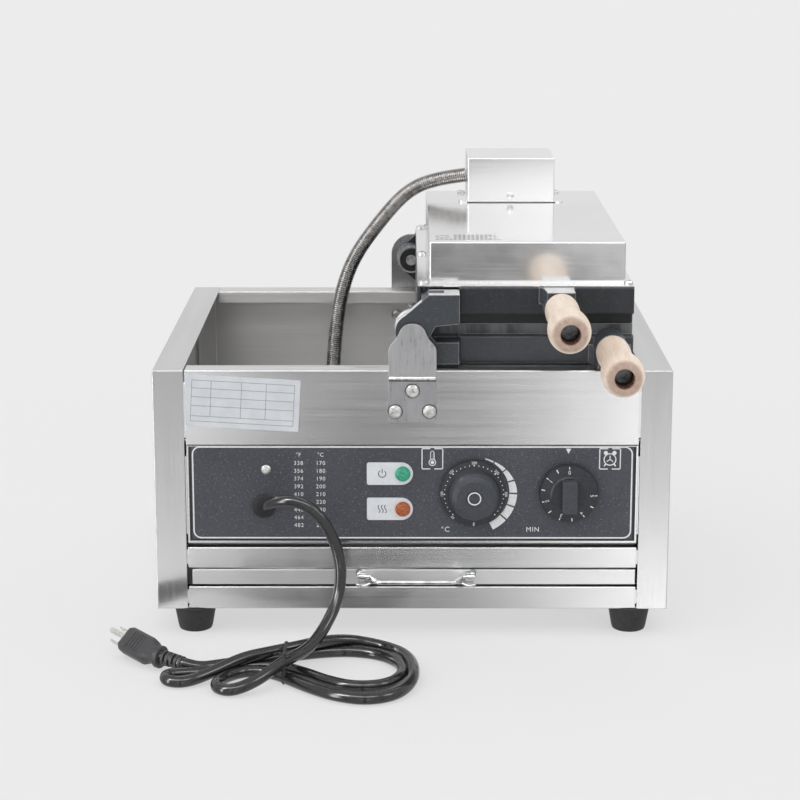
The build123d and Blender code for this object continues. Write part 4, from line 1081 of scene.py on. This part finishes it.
# pictograms on the two white plates
pf = P(0, OV - 0.8, 0)
di = Soup()
for z, kind in ((136.0, "power"), (106.3, "heat")):
    cx = -24.5
    if kind == "power":
        di.strip(mm([(cx + 3.0 * math.cos(math.radians(a)), z + 3.0 * math.sin(math.radians(a))) for a in range(125, 416, 15)]), 0.75 * MM, pf, UX, UY, UZ, 0.08 * MM)
        di.strip(mm([(cx, z + 0.4), (cx, z + 4.0)]), 0.75 * MM, pf, UX, UY, UZ, 0.08 * MM)
    else:
        for s in (-2.6, 0.0, 2.6):
            di.strip(mm([(cx + s + 0.75 * math.sin((q / 14.0) * 2 * math.pi), z - 3.3 + 6.6 * q / 14.0) for q in range(15)]), 0.7 * MM, pf, UX, UY, UZ, 0.08 * MM)
make("lamp_plate_print", di.v, di.f, DARK_INK, "cabinet", smooth=False)

# ------------------------------------------------------------------ dial marks
KB = OV - 2.6
td = Soup()


def on_cone(cx, cz, r, a, pts, r1, y1, r2, y2, lift=0.02):
    """Local (side, out) points about a place on a skirt cone, turned with the dial's angle."""
    out = []
    ca, sa = math.cos(a), math.sin(a)
    for s, o in pts:
        rr = r + o
        y = y1 + (y2 - y1) * (rr - r1) / (r2 - r1)
        out.append((cx + rr * ca - s * sa * -1 * 0 + (-sa) * s * -1, cz + rr * sa + ca * s * -1, y - lift))
    return out


def cone_prism(soup, cx, cz, r, a, pts, r1, y1, r2, y2, h=0.12):
    """A thin raised mark on the cone between (r1, y1) and (r2, y2); pts go round in (side, out)."""
    low = on_cone(cx, cz, r, a, pts, r1, y1, r2, y2, -0.05)
    high = on_cone(cx, cz, r, a, pts, r1, y1, r2, y2, h)
    n = len(pts)
    vs = [P(x, y, z) for x, z, y in low] + [P(x, y, z) for x, z, y in high]
    v = [Vector(p) for p in vs]
    fs = [tuple(range(n)), tuple(reversed(range(n, 2 * n)))] + [(i, n + i, n + (i + 1) % n, (i + 1) % n) for i in range(n)]
    # outward is -Y: turn the faces over if they came out inside out
    nn = (v[n + 1] - v[n]).cross(v[n + 2] - v[n])
    if nn.y > 0:
        fs = [tuple(reversed(f)) for f in fs]
    soup.add(vs, [tuple(reversed(f)) for f in fs])


def cone_text(soup, body, size, cx, cz, r, a, r1, y1, r2, y2, h=0.12, spin=0.0):
    me = text_mesh(body, size * MM, h * MM, 1.0)
    ca, sa = math.cos(a), math.sin(a)
    cs, ss = math.cos(spin), math.sin(spin)
    vs = []
    for v in me.vertices:
        s, o = v.co.x * 1000 * cs - v.co.y * 1000 * ss, v.co.x * 1000 * ss + v.co.y * 1000 * cs
        px, pz = r * ca + s * sa + o * ca, r * sa - s * ca + o * sa
        rr = math.hypot(px, pz)
        y = y1 + (y2 - y1) * (rr - r1) / (r2 - r1)
        vs.append(P(cx + px, y - 0.02 - v.co.z * 1000 - h / 2, cz + pz))
    soup.add(vs, [tuple(p.vertices) for p in me.polygons])
    bpy.data.meshes.remove(me)


# thermostat: dots every nine degrees, numbers outside them
TC = (21.6, KB - 5.2, 26.9, KB - 3.6)
for i in range(31):
    a = math.radians(225 - 9 * i)
    r = 24.1
    q = 0.42 if i % 5 else 0.6
    cone_prism(td, TH[0], TH[1], r, a, circle(0, 0, q, 8), *TC)
for i, n in enumerate((50, 100, 150, 200, 250, 300)):
    a = math.radians(225 - 45 * i - (0 if i else -4))
    cone_text(td, str(n), 3.0, TH[0], TH[1], 26.0, a, *TC)
cone_text(td, "0", 3.4, TH[0], TH[1], 24.6, math.radians(-90), *TC)
cone_prism(td, TH[0], TH[1], 26.3, math.radians(-90), circle(0, 0, 0.5, 8), *TC)
# ring on the hub
hub = P(TH[0], KB - 18.2, TH[1])
td.strip(mm(circle(0, 0, 5.0, 32)), 0.95 * MM, hub, UX, UY, UZ, 0.15 * MM, close=True)
make("thermostat_marks", td.v, td.f, INK, "thermostat_dial", smooth=False)

ti = Soup()
IC = (15.4, KB - 6.6, 23.2, KB - 4.2)
for i in range(11):
    a = math.radians(90 + 26.7 * i)
    r = 21.8
    if i % 2 == 0:
        cone_prism(ti, TI[0], TI[1], r, a, [(-0.35, -0.9), (0.35, -0.9), (0.35, 1.2), (-0.35, 1.2)], *IC)
        cone_text(ti, str(i // 2), 4.2, TI[0], TI[1], 18.4, a, *IC)
    else:
        cone_prism(ti, TI[0], TI[1], r - 0.3, a, [(-0.4, -1.6), (0.4, -1.6), (0.4, 1.4), (-0.4, 1.4)], *IC)
make("timer_marks", ti.v, ti.f, INK, "timer_dial", smooth=False)

# ------------------------------------------------------------------ label grid
ang = math.radians(-3.27)
lx, lz = Vector((math.cos(ang), 0, math.sin(ang))), Vector((-math.sin(ang), 0, math.cos(ang)))
lo = P(-137.7, -190.3, 195.0)
lab = Soup()
rows = [17.0, 10.5, 3.2, -4.1, -12.6, -16.9]
cols = [-41.0, -25.3, -0.8, 19.2, 42.0]
for z in rows:
    lab.strip(mm([(-41.0, z), (42.0, z)]), 0.4 * MM, lo, lx, lz, UZ, 0.06 * MM)
for x in cols:
    lab.strip(mm([(x, rows[0]), (x, rows[5] if abs(x) > 40 else rows[4])]), 0.4 * MM, lo, lx, lz, UZ, 0.06 * MM)
make("label_ruling", lab.v, lab.f, RULE, "cabinet", smooth=False)

# ------------------------------------------------------------------ wire loops at the bail's ends
def tube_through(soup, pts, r, seg=10):
    ln_ = nurbs_line([P(*p) for p in pts])
    ds_ = walk(ln_)
    n = 28
    rr_ = []
    for i in range(n + 1):
        p, d = sample(ln_, ds_, ds_[-1] * i / n)
        rr_.append((p, d, r if 0 < i < n else r * 0.6))
    v_, f_ = sweep(rr_, seg, lambda key, a: key * MM)
    soup.add(v_, f_)


lp_ = Soup()
sh_ = Soup()
for ex, s in ((-41.0, 1.0), (47.5, -1.0)):
    # a teardrop of wire over the ear, its two legs tucked under the body
    tube_through(lp_, [(ex - 1.6 * s, -194.9, 47.6), (ex - 3.4 * s, -195.6, 50.4), (ex - 3.6 * s, -195.8, 53.2), (ex - 1.6 * s, -195.8, 53.6), (ex + 0.6 * s, -195.6, 51.2), (ex + 2.0 * s, -194.9, 48.6)], 0.75)
    tube_through(lp_, [(ex - 4.6 * s, -194.6, 43.6), (ex - 1.0 * s, -196.2, 42.8), (ex + 3.4 * s, -196.2, 43.0), (ex + 6.8 * s, -194.9, 44.8)], 1.1)
    # the shaded gaps between the turns
    for dz in (0.0, 1.9):
        sh_.strip(mm([(ex + 3.6 * s, 45.9 - dz), (ex + 9.6 * s, 45.7 - dz)]), 0.7 * MM, P(0, -190.1, 0), UX, UY, UZ, 0.25 * MM)
    sh_.strip(mm([(ex - 4.4 * s, 49.6), (ex - 4.4 * s, 53.8), (ex - 2.4 * s, 55.0), (ex - 0.2 * s, 53.8)]), 0.7 * MM, P(0, -190.1, 0), UX, UY, UZ, 0.25 * MM)
make("bail_end_loops", lp_.v, lp_.f, CHROME, "crumb_tray")
make("bail_end_shade", sh_.v, sh_.f, FILM_RIM_AND_SHADE, "crumb_tray", smooth=False)

# ------------------------------------------------------------------ rubbed metal on the front arm, and a painted highlight on its sloping face
def barrel(soup, r, y0, y1, a0, a1, n=24, cz=254.0, t=0.10):
    """A thin curved plate on the knuckle, from angle a0 to a1 about the turning axis."""
    n0 = len(soup.v)
    for i in range(n + 1):
        a = math.radians(a0 + (a1 - a0) * i / n)
        for rr_ in (r - t, r + t):
            for y in (y0, y1):
                soup.v.append(P(rr_ * math.cos(a), y, cz + rr_ * math.sin(a)))
    for i in range(n):
        b, c2 = n0 + 4 * i, n0 + 4 * (i + 1)
        soup.f += [(b + 2, c2 + 2, c2 + 3, b + 3), (b, b + 1, c2 + 1, c2), (b, c2, c2 + 2, b + 2), (b + 1, b + 3, c2 + 3, c2 + 1)]
    soup.f += [(n0, n0 + 2, n0 + 3, n0 + 1), (n0 + 4 * n, n0 + 4 * n + 1, n0 + 4 * n + 3, n0 + 4 * n + 2)]


rub = Soup()
barrel(rub, 14.0, -189.8, -179.8, 62, 205)
make("upper_knuckle_rub", rub.v, rub.f, BARE_METAL_AND_HIGHLIGHT, "upper_mold")
rub = Soup()
barrel(rub, 14.0, -177.2, -166.2, 62, 205)
make("lower_knuckle_rub", rub.v, rub.f, BARE_METAL_AND_HIGHLIGHT, "lower_mold")

rub = Soup()
# top of the arm, with the pill left dark
rub.prism(mm([(13.2, -189.6), (37.6, -189.6), (37.6, -181.0), (13.2, -181.0)]), P(0, 0, 283.45), X, Y, Z, 0.12 * MM)
rub.prism(mm([(13.2, -168.4), (37.6, -168.4), (37.6, -164.6), (13.2, -164.6)]), P(0, 0, 283.45), X, Y, Z, 0.12 * MM)
rub.prism(mm([(25.4, -181.0), (37.6, -181.0), (37.6, -168.4), (25.4, -168.4)]), P(0, 0, 283.45), X, Y, Z, 0.12 * MM)
make("arm_top_rub", rub.v, rub.f, BARE_METAL_AND_HIGHLIGHT, "upper_mold", smooth=False)

# sloping face of the arm, rubbed bare and lightened as a painted highlight; and the top of the upper grip's boss
rub = Soup()
nx, nz = -0.6543, 0.7565
rub.prism(mm([(9.3, 279.83), (-5.8, 266.77), (-5.8 + 0.12 * nx, 266.77 + 0.12 * nz), (9.3 + 0.12 * nx, 279.83 + 0.12 * nz)]), P(0, -180.0, 0), X, Z, -Y, 9.6 * MM)
rub.prism(mm([(106.2, -165.0), (107.2, -176.0), (108.2, -189.6), (129.8, -189.6), (130.0, -176.0), (130.6, -165.0)]), P(0, 0, 285.15), X, Y, Z, 0.12 * MM)
make("arm_slope_highlight_and_boss_rub", rub.v, rub.f, BARE_METAL_AND_HIGHLIGHT, "upper_mold", smooth=False)


# ------------------------------------------------------------------ fish relief in the cavities
def fish_relief(soup, y0, z, ux, uy, uz):
    o = P(20.0, y0, z)

    def line_(pts, w=1.0, h=0.9, close=False):
        soup.strip(mm(pts), w * MM, o, ux, uy, uz, h * MM, close=close)

    for col in range(7):
        u = 58.0 + 8.6 * col
        n = (3, 4, 5, 5, 6, 5, 5)[col]
        for q in range(n):
            v = (q - (n - 1) / 2.0) * 9.6
            line_([(u - 4.4 * math.cos(math.radians(a)), v + 4.6 * math.sin(math.radians(a))) for a in range(-78, 79, 26)])
    line_([(113.0 + 7.0 * math.cos(math.radians(a)) , 26.0 * math.sin(math.radians(a))) for a in range(-80, 81, 16)], 1.8, 1.3)
    line_(circle(132.0, 8.5, 4.2, 20), 1.0, 1.2, close=True)
    soup.prism(mm(circle(132.0, 8.5, 1.6, 12)), o, ux, uy, uz, 1.6 * MM)
    line_([(143.0, -7.0), (138.5, -4.5), (134.5, -3.6)], 1.3, 1.1)
    for q in range(5):
        w_ = -1.0 + 0.5 * q
        line_([(38.0, 5.6 * w_), (26.0, 10.5 * w_), (12.5, 25.0 * w_ if abs(w_) > 0.4 else 12.0 * w_)] if w_ else [(40.0, 0.0), (18.0, 0.0)], 1.1, 1.1)
    for q in range(5):
        line_([(84.0 + 5.5 * q, 25.5), (80.0 + 5.5 * q, 31.0)], 1.1, 1.1)
        line_([(84.0 + 5.5 * q, -25.5), (80.0 + 5.5 * q, -31.0)], 1.1, 1.1)


fr = Soup()
for y0 in (-100.0, 0.0, 100.0):
    fish_relief(fr, y0, 240.0, X, Y, Z)
make("lower_fish_relief", fr.v, fr.f, CAST_RELIEF, "lower_mold", smooth=False)
fr = Soup()
for y0 in (-100.0, 0.0, 100.0):
    fish_relief(fr, y0, 268.0, X, -Y, -Z)
make("upper_fish_relief", fr.v, fr.f, CAST_RELIEF, "upper_mold", smooth=False)

# painted shadow: a dark ring round each bracket screw's head, standing in for the shade in the gap under it
gap_ = Soup()
for x, z in ((0.0, 205.6), (13.8, 188.6), (-13.8, 188.6)):
    gap_.strip(mm(circle(x, z, 5.75, 32)), 0.7 * MM, P(0, -192.5, 0), UX, UY, UZ, 0.08 * MM, close=True)
make("bracket_screw_shade", gap_.v, gap_.f, FILM_RIM_AND_SHADE, "cabinet", smooth=False)

# rounded bead along the bracket's step
bead = Soup()
rr = []
for x, q in ((-19.25, 0.8), (-19.0, 1.4), (-18.4, 1.75), (18.4, 1.75), (19.0, 1.4), (19.25, 0.8)):
    rr.append((P(x, -193.1, 216.2), X, q))
v2, f2 = sweep(rr, 20, lambda key, a: key * MM)
bead.add(v2, f2)
make("bracket_bead", bead.v, bead.f, HARDWARE, "cabinet")
# painted shadow: a black strip just under the bracket's step
bead = Soup()
bead.prism(mm([(-19.0, 213.5), (19.0, 213.5), (19.0, 214.3), (-19.0, 214.3)]), P(0, -192.5, 0), UX, UY, UZ, 0.10 * MM)
make("bracket_step_shade", bead.v, bead.f, FILM_RIM_AND_SHADE, "cabinet", smooth=False)

# a shadow line along the box's foot, where it meets the sheet below
ln2 = Soup()
ln2.prism(mm([(50.6, -0.5), (131.0, -0.5), (131.0, 0.2), (50.6, 0.2)]), P(0, 77.38, 321.1), X, Z, -Y, 0.10 * MM)
make("box_foot_line", ln2.v, ln2.f, FILM_RIM_AND_SHADE, "upper_mold", smooth=False)

# ------------------------------------------------------------------ hatched sticker on the cover
st = Soup()
sc = P(46.2, -127.5, 320.5)
st.strip(mm(circle(-21.5, 4.0, 5.2, 28)), 0.8 * MM, sc, X, Y, Z, 0.08 * MM, close=True)
for i in range(7):
    y = 13.0 - i * 4.2
    a = -12.0 if y > -4 else -27.0
    x1_ = (27.0, 22.0, 26.0, 17.0, 25.0, 20.0, 27.0)[i]
    n = int((x1_ - a) / 3.6)
    for q in range(n):
        st.strip(mm([(a + q * 3.6, y), (a + q * 3.6 + 2.6, y)]), 1.3 * MM, sc, X, Y, Z, 0.08 * MM)
make("cover_sticker_hatch", st.v, st.f, HATCH, "upper_mold", smooth=False)

# ------------------------------------------------------------------ floor, world and lights
me = bpy.data.meshes.new("floor")
S = 150.0
me.from_pydata([(-S, -S, 0), (S, -S, 0), (S, S, 0), (-S, S, 0)], [], [(0, 1, 2, 3)])
floor = bpy.data.objects.new("floor", me)
scene.collection.objects.link(floor)
k = Mat("studio_floor", Specular_IOR_Level=0.0, Emission_Color=(1.0, 1.0, 1.0), Emission_Strength=0.53)
k.color(k.ramp(k.noise(k.co, 0.6, 3.0, 0.5), [(0.3, 0.300), (0.7, 0.306)]))
k.set(Roughness=1.0)
me.materials.append(k.m)
floor.visible_glossy = False

w = bpy.data.worlds.new("studio")
scene.world = w
w.use_nodes = True
t = w.node_tree
for n in list(t.nodes):
    t.nodes.remove(n)
L = t.links.new


def wn(kind, **kw):
    n = t.nodes.new(kind)
    for a, b in kw.items():
        setattr(n, a, b)
    return n


def wmath(op, a, b=0.0):
    n = wn("ShaderNodeMath", operation=op)
    for i, v in enumerate((a, b)):
        if isinstance(v, (int, float)):
            n.inputs[i].default_value = v
        else:
            L(v, n.inputs[i])
    return n.outputs[0]


out = wn("ShaderNodeOutputWorld")
tc = wn("ShaderNodeTexCoord")
sep = wn("ShaderNodeSeparateXYZ")
L(tc.outputs["Generated"], sep.inputs[0])
az = wmath("ARCTAN2", sep.outputs[0], wmath("MULTIPLY", sep.outputs[1], -1.0))
deg = wmath("MULTIPLY", az, 57.29578)


def wramp(val, a, b, stops):
    m = wn("ShaderNodeMapRange")
    L(val, m.inputs["Value"])
    m.inputs["From Min"].default_value = a
    m.inputs["From Max"].default_value = b
    r = wn("ShaderNodeValToRGB")
    r.color_ramp.interpolation = "EASE"
    e = r.color_ramp.elements
    while len(e) > 1:
        e.remove(e[-1])
    e[0].position = (stops[0][0] - a) / (b - a)
    e[0].color = grey(stops[0][1])
    for p, c in stops[1:]:
        q = e.new((p - a) / (b - a))
        q.color = grey(c)
    L(m.outputs[0], r.inputs[0])
    return r.outputs[0]


# what the metal sees: soft panels of light round the studio, a darker gap in front and to the left
front = wramp(deg, -40.0, 40.0, [(-30, 0.86), (-14, 0.88), (-10, 0.94), (-6.2, 0.80), (-4.2, 0.54), (-2.6, 0.20), (-0.8, 0.12), (0.8, 0.18), (2.6, 0.32), (4.2, 0.62), (6.0, 0.95), (10, 1.06), (15, 0.92), (30, 0.88)])
elev = wramp(sep.outputs[2], -1.0, 1.0, [(-1.0, 0.80), (-0.6, 0.90), (-0.38, 1.0), (-0.215, 1.0), (-0.185, 0.62), (-0.152, 0.62), (-0.136, 1.0), (-0.05, 1.0), (0.0, 1.0), (0.06, 0.93), (0.3, 0.93), (0.42, 0.98), (0.7, 0.92), (1.0, 1.0)])
gl = wn("ShaderNodeMix", data_type="RGBA", blend_type="MULTIPLY")
gl.inputs[0].default_value = 1.0
L(front, gl.inputs[6])
L(elev, gl.inputs[7])


def softbox(d, inner, outer, power):
    """Brightness of a round soft light seen in direction d, angles in degrees."""
    n = wn("ShaderNodeVectorMath", operation="DOT_PRODUCT")
    L(tc.outputs["Generated"], n.inputs[0])
    n.inputs[1].default_value = Vector(d).normalized()
    m = wn("ShaderNodeMapRange", interpolation_type="SMOOTHSTEP")
    L(n.outputs["Value"], m.inputs["Value"])
    m.inputs["From Min"].default_value = math.cos(math.radians(outer))
    m.inputs["From Max"].default_value = math.cos(math.radians(inner))
    m.inputs["To Max"].default_value = power
    return m.outputs[0]


def window(val, a, b, c, d):
    """1 between b and c, easing to 0 at a and d."""
    up_ = wn("ShaderNodeMapRange", interpolation_type="SMOOTHSTEP")
    dn = wn("ShaderNodeMapRange", interpolation_type="SMOOTHSTEP")
    for n, p, q in ((up_, a, b), (dn, d, c)):
        L(val, n.inputs["Value"])
        n.inputs["From Min"].default_value = min(p, q)
        n.inputs["From Max"].default_value = max(p, q)
        n.inputs["To Min"].default_value = 0.0 if p < q else 1.0
        n.inputs["To Max"].default_value = 1.0 if p < q else 0.0
    return wmath("MULTIPLY", up_.outputs[0], dn.outputs[0])


# a tall strip of light to the left and a long one above the camera
tall = wmath("MULTIPLY", wmath("MULTIPLY", window(deg, -66.0, -61.0, -55.0, -50.0), window(sep.outputs[2], -0.40, -0.25, 0.60, 0.75)), 9.0)
long_ = wmath("MULTIPLY", wmath("MULTIPLY", window(deg, -70.0, -40.0, 25.0, 50.0), window(sep.outputs[2], 0.60, 0.68, 0.80, 0.87)), 5.0)
# what the box on the cover sees by way of the cover's top
low_ = wmath("MULTIPLY", wmath("MULTIPLY", window(deg, -20.0, -12.0, 12.0, 20.0), window(sep.outputs[2], 0.03, 0.06, 0.20, 0.28)), 0.9)
# a dark card that only the cover's front sees
card = wmath("SUBTRACT", 1.0, wmath("MULTIPLY", wmath("MULTIPLY", window(deg, 3.0, 4.6, 7.0, 8.0), window(sep.outputs[2], -0.195, -0.18, -0.155, -0.145)), 0.45))
# brighter bands straight in front: one low down, one level with the box
ahead = window(deg, -15.0, -10.0, 10.0, 15.0)
low_band = wmath("MULTIPLY", wmath("MULTIPLY", ahead, window(sep.outputs[2], -0.42, -0.322, -0.306, -0.280)), wmath("ADD", 1.45, wmath("MULTIPLY", window(deg, 0.5, 4.5, 10.0, 15.0), 1.3)))
box_band = wmath("MULTIPLY", wmath("MULTIPLY", ahead, window(sep.outputs[2], -0.150, -0.136, -0.09, -0.06)), 0.65)
# gaps between the light panels, every 45 degrees round the studio
every = wmath("PINGPONG", deg, 22.5)
gap = wn("ShaderNodeMapRange", interpolation_type="SMOOTHSTEP")
L(every, gap.inputs["Value"])
gap.inputs["From Min"].default_value = 1.0
gap.inputs["From Max"].default_value = 9.0
gap.inputs["To Min"].default_value = 0.45
gap.inputs["To Max"].default_value = 0.0
aside = wmath("SUBTRACT", 1.0, window(deg, -24.0, -18.0, 18.0, 24.0))
level = window(sep.outputs[2], -0.75, -0.6, 0.02, 0.05)
gaps = wmath("SUBTRACT", 1.0, wmath("MULTIPLY", wmath("MULTIPLY", gap.outputs[0], aside), level))
card = wmath("MULTIPLY", wmath("MULTIPLY", card, gaps), wmath("ADD", 1.0, wmath("ADD", low_band, box_band)))
boxes = wmath("ADD", softbox((-0.62, -0.42, 0.66), 5, 10, 14.0), softbox((0.70, -0.30, 0.62), 6, 12, 5.0))
add = wn("ShaderNodeMix", data_type="RGBA", blend_type="ADD")
add.inputs[0].default_value = 1.0
carded = wn("ShaderNodeMix", data_type="RGBA", blend_type="MULTIPLY")
carded.inputs[0].default_value = 1.0
L(gl.outputs[2], carded.inputs[6])
L(card, carded.inputs[7])
L(carded.outputs[2], add.inputs[6])
L(wmath("ADD", wmath("ADD", boxes, low_), wmath("ADD", tall, long_)), add.inputs[7])
lp = wn("ShaderNodeLightPath")
plain = wn("ShaderNodeMix", data_type="RGBA")
L(lp.outputs["Is Camera Ray"], plain.inputs[0])
plain.inputs[6].default_value = (0.93, 0.93, 0.935, 1.0)
plain.inputs[7].default_value = (0.84, 0.84, 0.84, 1.0)
both = wn("ShaderNodeMix", data_type="RGBA")
L(lp.outputs["Is Glossy Ray"], both.inputs[0])
L(plain.outputs[2], both.inputs[6])
L(add.outputs[2], both.inputs[7])
bg = wn("ShaderNodeBackground")
L(both.outputs[2], bg.inputs[0])
bg.inputs[1].default_value = 1.0
L(bg.outputs[0], out.inputs[0])


def sun(name, d, angle, power):
    s = bpy.data.lights.new(name, "SUN")
    s.angle = math.radians(angle)
    s.energy = power
    o = bpy.data.objects.new(name, s)
    scene.collection.objects.link(o)
    o.rotation_euler = (-Vector(d)).to_track_quat("-Z", "Y").to_euler()
    return o


sun("key", (-0.55, -0.45, 0.9), 50.0, 0.25)
sun("fill", (0.6, -0.2, 0.9), 60.0, 0.10)

# ------------------------------------------------------------------ finish
bpy.context.view_layer.update()
